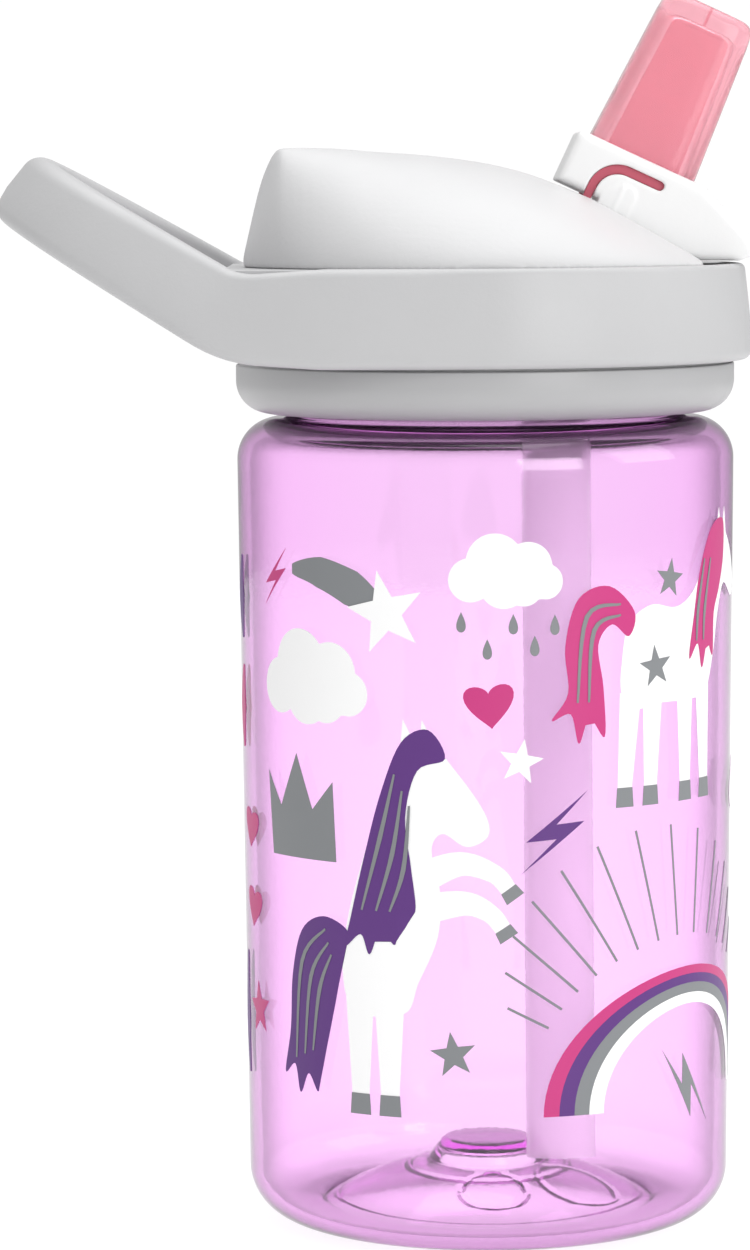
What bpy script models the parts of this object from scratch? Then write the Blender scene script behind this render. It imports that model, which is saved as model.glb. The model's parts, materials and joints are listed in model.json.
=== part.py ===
"""Kids' water bottle: a clear screw-top bottle with a flip-up bite valve, a straw and a carry loop.

Sizes below are in millimetres and turned into metres as each mesh is made.
The bottle's axis is the local Z axis of an empty, which sits off the origin so that the whole
object is centred. The carry loop reaches towards -X and the valve leans towards +X.
"""

import math

import bmesh
import bpy
from mathutils import Matrix, Vector

MM = 0.001

# Bottle
body_taper = 1.0
body_wall = 1.8
shoulder_z = 117.6
shoulder_round = 6.0
base_round = 7.5
foot_inner_r = 24.5
punt_rise = 7.2
nub_r = 8.9
nub_height = 3.1
neck_r = 29.0
neck_height = 10.7
shoulder_width = 7.2

# Screw thread
pitch = 4.5
thread_size = 1.3
thread_gap = 0.4
thread_start = 3.9
bottle_thread_turns = (0.0, 1.15)
cap_thread_turns = (0.12, 1.15)

# Gasket and screw cap
seat_gap = 0.3
gasket_height = 1.4
deck_thick = 2.3
skirt_depth = 5.6
skirt_gap = 0.8
skirt_round = 4.6
thread_wall = 1.9
rim_wall = 1.4
rim_rise = 1.9
skirt_height = 7.0

# Straw and the drink port
straw_offset = 10.4
straw_r = 5.0
straw_wall = 0.8
straw_lift = 1.75
nub_gap = 0.1
nipple_length = 12.0
port_bore_r = 2.2
port_wall = 1.0
boss_drop = 6.0

# Carry band and loop
band_height = 13.9
band_overhang = 2.5
band_draft = 1.0
band_lap_gap = 0.4
loop_run = 38.1
loop_thick = 6.0
loop_height = 11.8
loop_end_height = 11.0
loop_power = 2.2
loop_tilt = math.radians(30.6)
bend_inset = 3.0
bend_length = 8.0
deck_overrun = 2.1
plate_thick = 2.0
plate_step = 0.2
plate_inset = 2.2
opening_inset = 7.5

# Valve guard
guard_inset = 3.5
guard_shell = 2.0
guard_power = 1.5
ridge_half = 11.0
channel_gap = 0.4
tip_gap = 2.3
cheek_wall = 2.0
# Height of the ridge above the band's deck, by distance from the bottle's axis, drawn for this foot radius
ridge_foot_r = 35.9
ridge_line = [
    (-35.6, 1.3), (-34.4, 6.1), (-33.2, 10.7), (-32.1, 13.8), (-30.7, 16.3), (-29.0, 16.9),
    (-22.0, 16.8), (-15.9, 16.3), (-8.0, 15.7), (-0.7, 14.7), (5.0, 13.4), (9.9, 11.7),
    (15.6, 9.3), (20.2, 6.9), (26.0, 3.7), (31.5, 0.5),
]

# Flip stem and bite valve, about the pivot
pivot_x = 17.8
folded_gap = 1.1
lean = math.radians(25.0)
closing_turn = math.radians(115.0)
drum_r = 5.0
stem_half = 9.8
trunnion_r = 2.6
trunnion_gap = 0.3
collar_top = 12.0
collar_under = 4.0
collar_left = 10.2
socket_half_b = 8.55
collar_cheek = 1.3
socket_floor = 5.0
slot_width = 1.4
valve_gap = 0.3
valve_length = 24.0
valve_top_half_b = 6.9
valve_top_half_y = 7.0
valve_wall = 2.2
slit_length = 7.0
slit_width = 0.4
seal_height = 1.0

# Vent
vent_x = -10.0
vent_y = 19.0
vent_disc_r = 4.5
vent_hole_r = 1.8
vent_breather_r = 0.8

turn_steps = 56
small_steps = 24

# Levels and fits that follow from the sizes above
neck_top = shoulder_z + neck_height
gasket_base = neck_top + seat_gap
deck_under = gasket_base + gasket_height + seat_gap
deck_top = deck_under + deck_thick
skirt_base = shoulder_z + skirt_gap
skirt_top = skirt_base + skirt_height
cap_bore_r = neck_r + thread_size + thread_gap
body_top_r = neck_r + shoulder_width
body_base_r = body_top_r - body_taper
cap_outer_r = cap_bore_r + skirt_depth
band_base_r = cap_outer_r + band_overhang
band_base = skirt_top + band_lap_gap
band_top = band_base + band_height
band_mid = band_base + band_height / 2
cap_rim_r = cap_outer_r - 0.6
band_bore_r = cap_rim_r + seat_gap
opening_r = band_base_r - opening_inset
bend_x = band_base_r - bend_inset
deck_reach = bend_x + deck_overrun
loop_reach = bend_x + loop_run
guard_base = band_top + seat_gap
guard_foot_r = band_base_r - guard_inset
pivot_z = deck_top + collar_left + folded_gap
channel_half = stem_half + channel_gap
channel_end = pivot_x - collar_top - valve_length - tip_gap
socket_half_y = stem_half - collar_cheek
handle_reach = bend_x + loop_run * math.cos(loop_tilt) + loop_end_height / 2 * math.sin(loop_tilt) - 0.7
centre_shift = (handle_reach - band_base_r) / 2

for old in list(bpy.data.objects):
    bpy.data.objects.remove(old)

parts = bpy.data.collections.new("kids_water_bottle")
cutters = bpy.data.collections.new("cutters")
for collection in (parts, cutters):
    bpy.context.scene.collection.children.link(collection)


def plastic(name, colour, roughness, metallic=0.0, alpha=1.0):
    material = bpy.data.materials.new(name)
    material.use_nodes = True
    shader = material.node_tree.nodes["Principled BSDF"]
    shader.inputs["Base Color"].default_value = (*colour, 1.0)
    shader.inputs["Roughness"].default_value = roughness
    shader.inputs["Metallic"].default_value = metallic
    shader.inputs["Alpha"].default_value = alpha
    material.diffuse_color = (*colour, alpha)
    return material


def empty(name, parent=None, at=(0.0, 0.0, 0.0)):
    holder = bpy.data.objects.new(name, None)
    holder.location = Vector(at) * MM
    holder.parent = parent
    parts.objects.link(holder)
    return holder


bottle_axis = empty("bottle_axis", at=(centre_shift, 0.0, 0.0))
valve_pivot = empty("valve_pivot", bottle_axis, (pivot_x, 0.0, pivot_z))


def add_object(name, mesh, parent, material=None, at=(0.0, 0.0, 0.0)):
    """Link a mesh as a part, or as a hidden cutter when it has no material."""
    obj = bpy.data.objects.new(name, mesh)
    obj.parent = parent
    obj.location = Vector(at) * MM
    if material is None:
        cutters.objects.link(obj)
        obj.hide_render = True
        obj.display_type = "WIRE"
    else:
        parts.objects.link(obj)
        mesh.materials.append(material)
    return obj


def mesh_from(name, build):
    mesh = bpy.data.meshes.new(name)
    shape = bmesh.new()
    build(shape)
    bmesh.ops.recalc_face_normals(shape, faces=shape.faces)
    shape.to_mesh(mesh)
    shape.free()
    return mesh


def arc(centre, radius, start, end, steps):
    """Points of an arc in degrees, both ends included."""
    angles = [math.radians(start + (end - start) * i / steps) for i in range(steps + 1)]
    return [(centre[0] + radius * math.cos(a), centre[1] + radius * math.sin(a)) for a in angles]


def turned(name, profile, parent, material, at=(0.0, 0.0, 0.0), steps=turn_steps):
    """A profile of (radius, height) points turned about Z, outer side from top to bottom."""
    mesh = bpy.data.meshes.new(name)
    points = [(r * MM, 0.0, z * MM) for r, z in profile]
    edges = [(i, i + 1) for i in range(len(points) - 1)]
    if profile[0][0] > 0:
        edges.append((len(points) - 1, 0))
    mesh.from_pydata(points, edges, [])
    obj = add_object(name, mesh, parent, material, at)
    screw = obj.modifiers.new("turn", "SCREW")
    screw.steps = screw.render_steps = steps
    screw.use_merge_vertices = True
    screw.merge_threshold = 0.00001
    screw.use_smooth_shade = True
    return obj


def cylinder(name, radius, low, high, parent, at=(0.0, 0.0), tilt=None, steps=small_steps, material=None):
    """A cylinder along Z from low to high, or along another axis given as a tilt matrix."""
    def build(shape):
        bmesh.ops.create_cone(shape, cap_ends=True, segments=steps, radius1=radius * MM, radius2=radius * MM,
                              depth=(high - low) * MM)
        bmesh.ops.translate(shape, verts=shape.verts, vec=(0.0, 0.0, (low + high) / 2 * MM))
        if tilt is not None:
            bmesh.ops.transform(shape, verts=shape.verts, matrix=tilt)
    return add_object(name, mesh_from(name, build), parent, material, (*at, 0.0))


def block(name, low, high, parent, material=None):
    """A box between two corners."""
    def build(shape):
        size = [(b - a) * MM for a, b in zip(low, high)]
        middle = [(a + b) / 2 * MM for a, b in zip(low, high)]
        bmesh.ops.create_cube(shape, size=1.0)
        bmesh.ops.scale(shape, verts=shape.verts, vec=size)
        bmesh.ops.translate(shape, verts=shape.verts, vec=middle)
    return add_object(name, mesh_from(name, build), parent, material)


def prism(name, outline, y_low, y_high, parent, material=None):
    """An outline of (x, z) points drawn out along Y."""
    def build(shape):
        near = [shape.verts.new((x * MM, y_low * MM, z * MM)) for x, z in outline]
        face = shape.faces.new(near)
        far = bmesh.ops.extrude_face_region(shape, geom=[face])["geom"]
        moved = [v for v in far if isinstance(v, bmesh.types.BMVert)]
        bmesh.ops.translate(shape, verts=moved, vec=(0.0, (y_high - y_low) * MM, 0.0))
    return add_object(name, mesh_from(name, build), parent, material)


def loft(name, rings, parent, material=None, closed_path=False):
    """Skin a row of rings with equal point counts. An open row is capped at both ends."""
    def build(shape):
        rows = [[shape.verts.new(Vector(p) * MM) for p in ring] for ring in rings]
        pairs = list(zip(rows, rows[1:]))
        if closed_path:
            pairs.append((rows[-1], rows[0]))
        for first, second in pairs:
            for i in range(len(first)):
                j = (i + 1) % len(first)
                shape.faces.new((first[i], first[j], second[j], second[i]))
        if not closed_path:
            shape.faces.new(rows[0])
            shape.faces.new(rows[-1])
    return add_object(name, mesh_from(name, build), parent, material)


def tube_mesh(name, points, radii, sides, parent, material=None, wall=0.0):
    """A bevelled curve through the points, made a mesh. With a wall it is a hollow, open tube."""
    curve = bpy.data.curves.new(name, "CURVE")
    curve.dimensions = "3D"
    curve.bevel_depth = MM
    curve.bevel_resolution = sides
    curve.use_fill_caps = wall == 0.0
    spline = curve.splines.new("POLY")
    spline.points.add(len(points) - 1)
    for point, place, radius in zip(spline.points, points, radii):
        point.co = (*(c * MM for c in place), 1.0)
        point.radius = radius
    guide = bpy.data.objects.new(name + "_guide", curve)
    cutters.objects.link(guide)
    bpy.context.view_layer.update()
    mesh = bpy.data.meshes.new_from_object(guide.evaluated_get(bpy.context.evaluated_depsgraph_get()))
    bpy.data.objects.remove(guide)
    shape = bmesh.new()
    shape.from_mesh(mesh)
    bmesh.ops.remove_doubles(shape, verts=shape.verts, dist=0.000001)
    bmesh.ops.recalc_face_normals(shape, faces=shape.faces)
    shape.to_mesh(mesh)
    shape.free()
    obj = add_object(name, mesh, parent, material)
    if wall:
        shell = obj.modifiers.new("wall", "SOLIDIFY")
        shell.thickness = wall * MM
        shell.offset = -1.0
    return obj


def combine(obj, other, operation="DIFFERENCE"):
    step = obj.modifiers.new(operation.lower(), "BOOLEAN")
    step.operation = operation
    step.solver = "EXACT"
    step.object = other


def finish(obj):
    """Smooth shading with sharp edges kept sharp."""
    obj.data.shade_smooth()
    obj.data.set_sharp_from_angle(angle=math.radians(35))


def helix(radius, turns, size, base_z, steps_a_turn=40, run_out=0.12):
    """Points and radii of a screw thread that fades out at both ends."""
    first, last = turns
    count = round((last - first) * steps_a_turn)
    points, radii = [], []
    for i in range(count + 1):
        turn = first + (last - first) * i / count
        angle = turn * math.tau
        points.append((radius * math.cos(angle), radius * math.sin(angle), base_z + pitch * turn))
        fade = min(1.0, (turn - first) / run_out, (last - turn) / run_out)
        radii.append(size * (0.35 + 0.65 * fade))
    return points, radii


clear_plastic = plastic("tinted clear plastic", (0.80, 0.52, 0.80), 0.08, alpha=0.45)
straw_plastic = plastic("natural straw plastic", (0.82, 0.66, 0.82), 0.3, alpha=0.6)
cap_plastic = plastic("pale grey plastic", (0.62, 0.62, 0.63), 0.45)
white_plastic = plastic("white plastic", (0.88, 0.88, 0.88), 0.4)
pink_silicone = plastic("pink silicone", (0.93, 0.33, 0.42), 0.5)
white_silicone = plastic("white silicone", (0.80, 0.80, 0.80), 0.6)


def punt_height(radius):
    return punt_rise * (1 - (radius / foot_inner_r) ** 2)


def make_bottle():
    """One blown wall: floor with a domed punt and a nub, tapered side, shoulder and threaded neck."""
    side_top = shoulder_z - shoulder_round
    corner = (body_base_r - base_round, base_round)
    shoulder = (body_top_r - shoulder_round, side_top)
    neck_in = neck_r - body_wall
    nub_in = nub_r - 1.2
    nub_under = punt_height(nub_in) + nub_height - 0.2
    floor_steps = 5
    floor = [nub_r + (foot_inner_r - nub_r) * i / floor_steps for i in range(floor_steps + 1)]
    profile = [(0.0, punt_height(nub_r) + body_wall + nub_height + 0.2),
               (nub_r - 2.4, punt_height(nub_r) + body_wall + nub_height),
               (nub_r - 1.4, punt_height(nub_r) + body_wall + nub_height - 0.7)]
    profile += [(r, punt_height(r) + body_wall) for r in floor]
    profile += arc(corner, base_round - body_wall, -90, 0, 5)
    profile += arc(shoulder, shoulder_round - body_wall, 0, 90, 4)
    profile += [(neck_in + 0.9, shoulder_z - body_wall + 0.2), (neck_in, shoulder_z),
                (neck_in, neck_top - 0.4), (neck_in + 0.4, neck_top), (neck_r - 0.5, neck_top),
                (neck_r, neck_top - 0.5), (neck_r, shoulder_z + 1.0), (neck_r + 1.4, shoulder_z + 0.4)]
    profile += arc(shoulder, shoulder_round, 90, 0, 6)
    profile += arc(corner, base_round, 0, -90, 7)
    profile += [(r, punt_height(r)) for r in reversed(floor[1:])]
    profile += [(nub_in, punt_height(nub_in)), (nub_in - 1.2, nub_under), (0.0, nub_under + 0.2)]
    bottle = turned("bottle_body", profile, bottle_axis, clear_plastic)
    points, radii = helix(neck_r, bottle_thread_turns, thread_size, shoulder_z + thread_start)
    thread = tube_mesh("bottle_thread", points, radii, 1, bottle_axis)
    combine(bottle, thread, "UNION")
    finish(bottle)


def make_gasket():
    """Flat silicone ring between the neck's rim and the underside of the cap's deck."""
    outer, inner = neck_r + 0.4, neck_r - body_wall - 0.4
    top = gasket_base + gasket_height
    profile = [(inner, top), (outer, top), (outer, gasket_base), (inner, gasket_base)]
    finish(turned("cap_gasket", profile, bottle_axis, white_silicone, steps=40))


def make_screw_cap():
    """Threaded skirt and deck, with the straw nipple below and the drink port above."""
    wall_r = cap_bore_r + thread_wall
    trough_r = cap_rim_r - rim_wall
    trough_z = skirt_base + skirt_round - 1.0
    skirt_corner = (cap_outer_r - skirt_round, skirt_base + skirt_round)
    profile = [(0.0, deck_top), (wall_r, deck_top), (wall_r, trough_z), (trough_r, trough_z),
               (trough_r, deck_top + rim_rise), (cap_rim_r, deck_top + rim_rise),
               (cap_rim_r, skirt_top), (cap_outer_r, skirt_top)]
    profile += arc(skirt_corner, skirt_round, 0, -90, 6)
    profile += [(cap_bore_r + 0.6, skirt_base), (cap_bore_r, skirt_base + 0.6),
                (cap_bore_r, deck_under), (0.0, deck_under)]
    cap = turned("screw_cap", profile, bottle_axis, cap_plastic)
    base_z = shoulder_z + thread_start - pitch / 2
    points, radii = helix(cap_bore_r, cap_thread_turns, thread_size - 0.1, base_z)
    combine(cap, tube_mesh("cap_thread", points, radii, 1, bottle_axis), "UNION")

    port_r = port_bore_r + port_wall
    boss_under = deck_under - boss_drop
    nipple_r = straw_r - straw_wall - seat_gap
    boss = block("port_boss", (straw_offset - nipple_r - 0.6, -nipple_r - 0.6, boss_under),
                 (pivot_x + port_r + 0.6, nipple_r + 0.6, deck_under + 0.5), bottle_axis)
    combine(cap, boss, "UNION")
    nipple = cylinder("straw_nipple", nipple_r, boss_under - nipple_length, boss_under + 0.5, bottle_axis,
                      (straw_offset, 0.0))
    combine(cap, nipple, "UNION")
    riser = cylinder("port_riser", port_r, deck_top - 0.5, pivot_z, bottle_axis, (pivot_x, 0.0))
    combine(riser, drum_cutter("riser_saddle", drum_r + seat_gap + seal_height + seat_gap))
    combine(cap, riser, "UNION")
    run = pivot_x - straw_offset
    bore_path = [(straw_offset, 0, boss_under - nipple_length - 1), (straw_offset, 0, boss_under),
                 (straw_offset + 0.12 * run, 0, boss_under + 1.9),
                 (straw_offset + 0.5 * run, 0, boss_under + 3.4),
                 (straw_offset + 0.88 * run, 0, boss_under + 4.9),
                 (pivot_x, 0, boss_under + 6.8), (pivot_x, 0, pivot_z)]
    bore = tube_mesh("port_bore", bore_path, [port_bore_r] * len(bore_path), 4, bottle_axis)
    combine(cap, bore)

    for name, radius, offset in (("vent_stem_hole", vent_hole_r, 0.0), ("breather_a", vent_breather_r, 3.1),
                                 ("breather_b", vent_breather_r, -3.1)):
        hole = cylinder(name, radius, deck_under - 1, deck_top + 1, bottle_axis, (vent_x + offset, vent_y),
                        steps=16)
        combine(cap, hole)
    finish(cap)


def along_y(x, z):
    """Turns a Z cylinder to lie along Y through (x, z)."""
    return Matrix.Translation(Vector((x, 0.0, z)) * MM) @ Matrix.Rotation(math.radians(90), 4, "X")


def drum_cutter(name, radius, half=13.0, steps=40):
    return cylinder(name, radius, -half, half, bottle_axis, tilt=along_y(pivot_x, pivot_z), steps=steps)


def make_port_seal():
    """Silicone collar on the port, hollowed to the stem's drum."""
    outer = port_bore_r + port_wall
    seal = cylinder("port_seal", outer, pivot_z - drum_r - seat_gap - seal_height - 1.5, pivot_z, bottle_axis,
                    (pivot_x, 0.0), material=white_silicone)
    combine(seal, drum_cutter("seal_outside", drum_r + seat_gap + seal_height), "INTERSECT")
    combine(seal, drum_cutter("seal_inside", drum_r + seat_gap))
    combine(seal, cylinder("seal_bore", port_bore_r, pivot_z - 12, pivot_z, bottle_axis, (pivot_x, 0.0)))
    finish(seal)


def make_straw():
    """Soft tube pushed over the nipple. It bows a little towards -Y and ends beside the floor's nub."""
    top = deck_under - boss_drop - seat_gap
    straight = nipple_length + 1.0
    end_z = punt_height(nub_r) + body_wall + straw_lift
    end_y = -math.sqrt((nub_r + straw_r + nub_gap) ** 2 - straw_offset ** 2)
    fall = top - straight - end_z
    points = [(straw_offset, 0.0, top), (straw_offset, 0.0, top - straight)]
    steps = 8
    for i in range(1, steps + 1):
        share = i / steps
        points.append((straw_offset, end_y * share ** 1.4, top - straight - fall * share))
    finish(tube_mesh("straw", points, [straw_r] * len(points), 4, bottle_axis, straw_plastic, straw_wall))


def make_vent_valve():
    """Umbrella valve that lets air in: a disc over the breather holes, a stem and a retaining bead."""
    top = deck_top + seat_gap
    profile = [(0.0, top + 1.6), (vent_disc_r - 1.5, top + 1.3), (vent_disc_r, top + 0.5), (vent_disc_r, top),
               (vent_hole_r - 0.3, top), (vent_hole_r - 0.3, deck_under - 0.3), (vent_hole_r + 0.6, deck_under - 0.7),
               (vent_hole_r + 0.3, deck_under - 1.8), (0.0, deck_under - 3.0)]
    finish(turned("vent_valve", profile, bottle_axis, white_silicone, (vent_x, vent_y, 0.0), small_steps))


def contour(angle):
    """Plan of the band: a circle towards +X, drawn out to the loop's long oval towards -X.

    Gives the point and its outward normal, before the loop is bent up.
    """
    c, s = math.cos(angle), math.sin(angle)
    if c >= 0:
        return Vector((band_base_r * c, band_base_r * s)), Vector((c, s))
    power = 2 / loop_power
    x = -loop_reach * abs(c) ** power
    y = math.copysign(band_base_r * abs(s) ** power, s)
    normal = Vector((math.copysign(abs(x / loop_reach) ** (loop_power - 1) / loop_reach, x),
                     math.copysign(abs(y / band_base_r) ** (loop_power - 1) / band_base_r, y)))
    return Vector((x, y)), normal.normalized()


def bent(x, y, z):
    """Bends everything beyond the bend line up to the loop's tilt."""
    start = bend_x - bend_length / 2
    run = -x - start
    if run <= 0:
        return (x, y, z)
    turned_run = min(run, bend_length)
    angle = loop_tilt * turned_run / bend_length
    bend_r = bend_length / loop_tilt
    cx = -start - bend_r * math.sin(angle) - (run - turned_run) * math.cos(angle)
    cz = band_mid + bend_r * (1 - math.cos(angle)) + (run - turned_run) * math.sin(angle)
    return (cx + (z - band_mid) * math.sin(angle), y, cz + (z - band_mid) * math.cos(angle))


def make_carry_band():
    """Wall round the cap that carries on into the tilted finger loop, with a deck plate inside it."""
    steps = 72
    rings = []
    for i in range(steps):
        point, normal = contour(math.tau * i / steps)
        room = point.length - band_bore_r
        thick = loop_thick if point.x < 0 and room > loop_thick else room
        along = min(1.0, max(0.0, (-point.x - bend_x + 12) / 16))
        height = band_height + (loop_height - band_height) * along
        if -point.x > bend_x:
            height += (loop_end_height - loop_height) * (-point.x - bend_x) / loop_run
        top, low = band_mid + height / 2, band_mid - height / 2
        corner = min(0.9, 0.15 * thick)
        section = [(0.9, low), (0.25, low + 0.4), (0.0, low + 1.2), (band_draft, top - 2.0),
                   (band_draft + 0.2, top - 0.9), (band_draft + 0.8, top - 0.2), (thick - corner, top),
                   (thick, top - corner), (thick, low + corner), (thick - corner, low)]
        rings.append([bent(*(point - normal * depth), z) for depth, z in section])
    band = loft("carry_band", rings, bottle_axis, cap_plastic, closed_path=True)

    plate_top = band_top - plate_step
    outline = []
    for i in range(steps):
        point, normal = contour(math.tau * i / steps)
        inset = point - normal * plate_inset
        if inset.x > -deck_reach + 1.0:
            outline.append(inset)
    outline.sort(key=lambda p: math.atan2(p.y, p.x))
    ends = [outline[0], outline[-1]]
    outline = [Vector((-deck_reach, ends[0].y))] + outline + [Vector((-deck_reach, ends[1].y))]

    def build_plate(shape):
        low = [shape.verts.new((p.x * MM, p.y * MM, (plate_top - plate_thick) * MM)) for p in outline]
        face = shape.faces.new(low)
        raised = bmesh.ops.extrude_face_region(shape, geom=[face])["geom"]
        moved = [v for v in raised if isinstance(v, bmesh.types.BMVert)]
        bmesh.ops.translate(shape, verts=moved, vec=(0.0, 0.0, plate_thick * MM))
    plate = add_object("band_plate", mesh_from("band_plate", build_plate), bottle_axis)
    combine(plate, cylinder("plate_opening", opening_r, plate_top - 5, plate_top + 5, bottle_axis,
                            steps=turn_steps))
    combine(band, plate, "UNION")
    finish(band)


def dome_rings(inset, base):
    """Sections of the guard's dome along X, set in by a wall on every side but the base."""
    rings = []
    stretch = guard_foot_r / ridge_foot_r
    first, last = ridge_line[0][0] * stretch + inset, ridge_line[-1][0] * stretch - 1.5 * inset
    stations = [min(max(x * stretch, first), last) for x, _ in ridge_line]
    arc_steps = 7
    for (_, rise), x in zip(ridge_line, stations):
        foot_r = guard_foot_r - inset
        half = math.sqrt(max(foot_r ** 2 - x ** 2, 9.0))
        flat = min(ridge_half, 0.55 * half)
        height = max(rise - inset, 0.2)
        side = []
        for i in range(arc_steps + 1):
            angle = math.radians(90) * i / arc_steps
            y = flat + (half - flat) * math.cos(angle) ** (2 / guard_power)
            z = guard_base + height * math.sin(angle) ** (2 / guard_power)
            side.append((y, z))
        ring = [(x, -half, base)] + [(x, -y, z) for y, z in side]
        ring += [(x, y, z) for y, z in reversed(side)] + [(x, half, base)]
        if not rings or abs(rings[-1][0][0] - x) > 0.05:
            rings.append(ring)
    return rings


def make_valve_guard():
    """Humped cover with two cheeks and a channel between them, where the valve folds down."""
    guard = loft("valve_guard", dome_rings(0.0, guard_base), bottle_axis, cap_plastic)
    outer_half = channel_half + cheek_wall
    frame_end = math.sqrt((opening_r - 0.5) ** 2 - outer_half ** 2)
    cheeks = block("cheek_walls", (channel_end - cheek_wall, -outer_half, deck_top + seat_gap),
                   (frame_end, outer_half, guard_base + 0.4), bottle_axis)
    combine(guard, cheeks, "UNION")
    pocket = loft("cheek_pockets", dome_rings(guard_shell, guard_base - 1.0), bottle_axis)
    keep = block("pocket_limit", (channel_end - cheek_wall, -outer_half, deck_top - 1),
                 (60.0, outer_half, guard_base + 40), bottle_axis)
    combine(pocket, keep)
    combine(guard, pocket)
    channel = block("valve_channel", (channel_end, -channel_half, deck_top - 2),
                    (60.0, channel_half, guard_base + 40), bottle_axis)
    combine(guard, channel)
    socket = cylinder("trunnion_sockets", trunnion_r + trunnion_gap, -outer_half - 1, outer_half + 1, bottle_axis,
                      tilt=along_y(pivot_x, pivot_z))
    combine(guard, socket)
    finish(guard)


def leaning(a, b):
    """A point from its distance along the open valve's axis, and across it, to (x, z) about the pivot."""
    return (a * math.sin(lean) + b * math.cos(lean), a * math.cos(lean) - b * math.sin(lean))


def rounded_oval(half_b, half_y, a, steps, power=3.0):
    """A ring square to the valve's axis, a distance a along it from the pivot."""
    ring = []
    for i in range(steps):
        angle = math.tau * i / steps
        c, s = math.cos(angle), math.sin(angle)
        b = math.copysign(half_b * abs(c) ** (2 / power), c)
        y = math.copysign(half_y * abs(s) ** (2 / power), s)
        x, z = leaning(a, b)
        ring.append((x, y, z))
    return ring


def slot_outline():
    """The curved slot in the stem's cheek: a leg beside the pivot, a quarter turn and a leg along the top."""
    middle_r = 3.95
    centre = (-1.3, 5.4)
    half = slot_width / 2
    quarter = range(0, 91, 15)
    outer, inner = [], []
    for degrees in quarter:
        angle = math.radians(180 - degrees)
        for radius, row in ((middle_r + half, outer), (middle_r - half, inner)):
            row.append((centre[0] + radius * math.cos(angle), centre[1] + radius * math.sin(angle)))
    foot, end = -1.0, 3.6
    outer = [(outer[0][0], foot)] + outer + [(end, outer[-1][1])]
    inner = [(inner[0][0], foot)] + inner + [(end, inner[-1][1])]
    tip = [(end + half, centre[1] + middle_r)]
    return [leaning(a, b) for b, a in outer + tip + list(reversed(inner))]


def make_flip_stem():
    """Turning piece: drum on two trunnions, collar that holds the bite valve, and a thumb tab."""
    outline = [(collar_under, -collar_left), (collar_top, -collar_left), (collar_top, 9.6), (8.5, 18.2),
               (7.7, 20.0), (6.6, 20.7), (5.4, 20.2), (4.4, 18.4), (-1.1, 6.3), (-3.5, 2.5), (-3.5, -2.5),
               (collar_under, -2.5)]
    stem = prism("flip_stem", [leaning(a, b) for a, b in outline], -stem_half, stem_half, valve_pivot,
                 white_plastic)
    soften = stem.modifiers.new("edges", "BEVEL")
    soften.width = 0.0008
    soften.segments = 2
    soften.limit_method = "ANGLE"
    soften.angle_limit = math.radians(50)
    turn_y = Matrix.Rotation(math.radians(90), 4, "X")
    drum = cylinder("stem_drum", drum_r, -stem_half + 0.1, stem_half - 0.1, valve_pivot, tilt=turn_y, steps=40)
    combine(stem, drum, "UNION")
    trunnions = cylinder("stem_trunnions", trunnion_r, -channel_half - cheek_wall + 0.3,
                         channel_half + cheek_wall - 0.3, valve_pivot, tilt=turn_y)
    combine(stem, trunnions, "UNION")
    socket = loft("valve_socket", [rounded_oval(socket_half_b, socket_half_y, a, 28)
                                   for a in (socket_floor, collar_top + 2)], valve_pivot)
    combine(stem, socket)
    down = Vector((0.0, 0.0, -drum_r - 1.0))
    up = Vector((*leaning(socket_floor + 1.0, 0.0), 0.0)).xzy
    bore = tube_mesh("stem_bore", [down, Vector((0, 0, -1.2)), Vector((0.15, 0, 0.3)), up],
                     [port_bore_r] * 4, 4, valve_pivot)
    combine(stem, bore)
    for name, low, high in (("slot_near", -stem_half - 1, -socket_half_y + 0.2),
                            ("slot_far", socket_half_y - 0.2, stem_half + 1)):
        combine(stem, prism(name, slot_outline(), low, high, valve_pivot))
    finish(stem)


def make_bite_valve():
    """Hollow silicone mouthpiece with its skirt in the collar, a closed tip and a slit through the tip."""
    steps = 28
    base = socket_floor + valve_gap
    half_b, half_y = socket_half_b - valve_gap, socket_half_y - valve_gap
    tip = collar_top + valve_length

    def half_at(a, wall=0.0):
        share = max(0.0, (a - collar_top) / valve_length)
        return (half_b + (valve_top_half_b - half_b) * share - wall,
                half_y + (valve_top_half_y - half_y) * share - wall)

    tip_b, tip_y = half_at(tip)
    rings = [rounded_oval(*half_at(base), base, steps), rounded_oval(*half_at(collar_top), collar_top, steps),
             rounded_oval(*half_at(tip - 1.6), tip - 1.6, steps),
             rounded_oval(tip_b - 0.5, tip_y - 0.5, tip - 0.5, steps),
             rounded_oval(tip_b - 1.7, tip_y - 1.7, tip, steps)]
    valve = loft("bite_valve", rings, valve_pivot, pink_silicone)
    roof = tip - 3.0
    hollow = [rounded_oval(*half_at(base, valve_wall), base - 1.0, steps),
              rounded_oval(*half_at(collar_top, valve_wall), collar_top, steps),
              rounded_oval(*half_at(roof - 1.5, valve_wall), roof - 1.5, steps),
              rounded_oval(*half_at(roof, valve_wall + 1.2), roof, steps)]
    combine(valve, loft("valve_hollow", hollow, valve_pivot))
    corners = [(roof - 2, -slit_width / 2), (tip + 2, -slit_width / 2), (tip + 2, slit_width / 2),
               (roof - 2, slit_width / 2)]
    combine(valve, prism("valve_slit", [leaning(a, b) for a, b in corners], -slit_length / 2, slit_length / 2,
                         valve_pivot))
    finish(valve)


make_bottle()
make_gasket()
make_screw_cap()
make_port_seal()
make_straw()
make_vent_valve()
make_carry_band()
make_valve_guard()
make_flip_stem()
make_bite_valve()
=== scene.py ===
import json
import math

import bmesh
import bpy
from mathutils import Matrix, Vector


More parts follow.
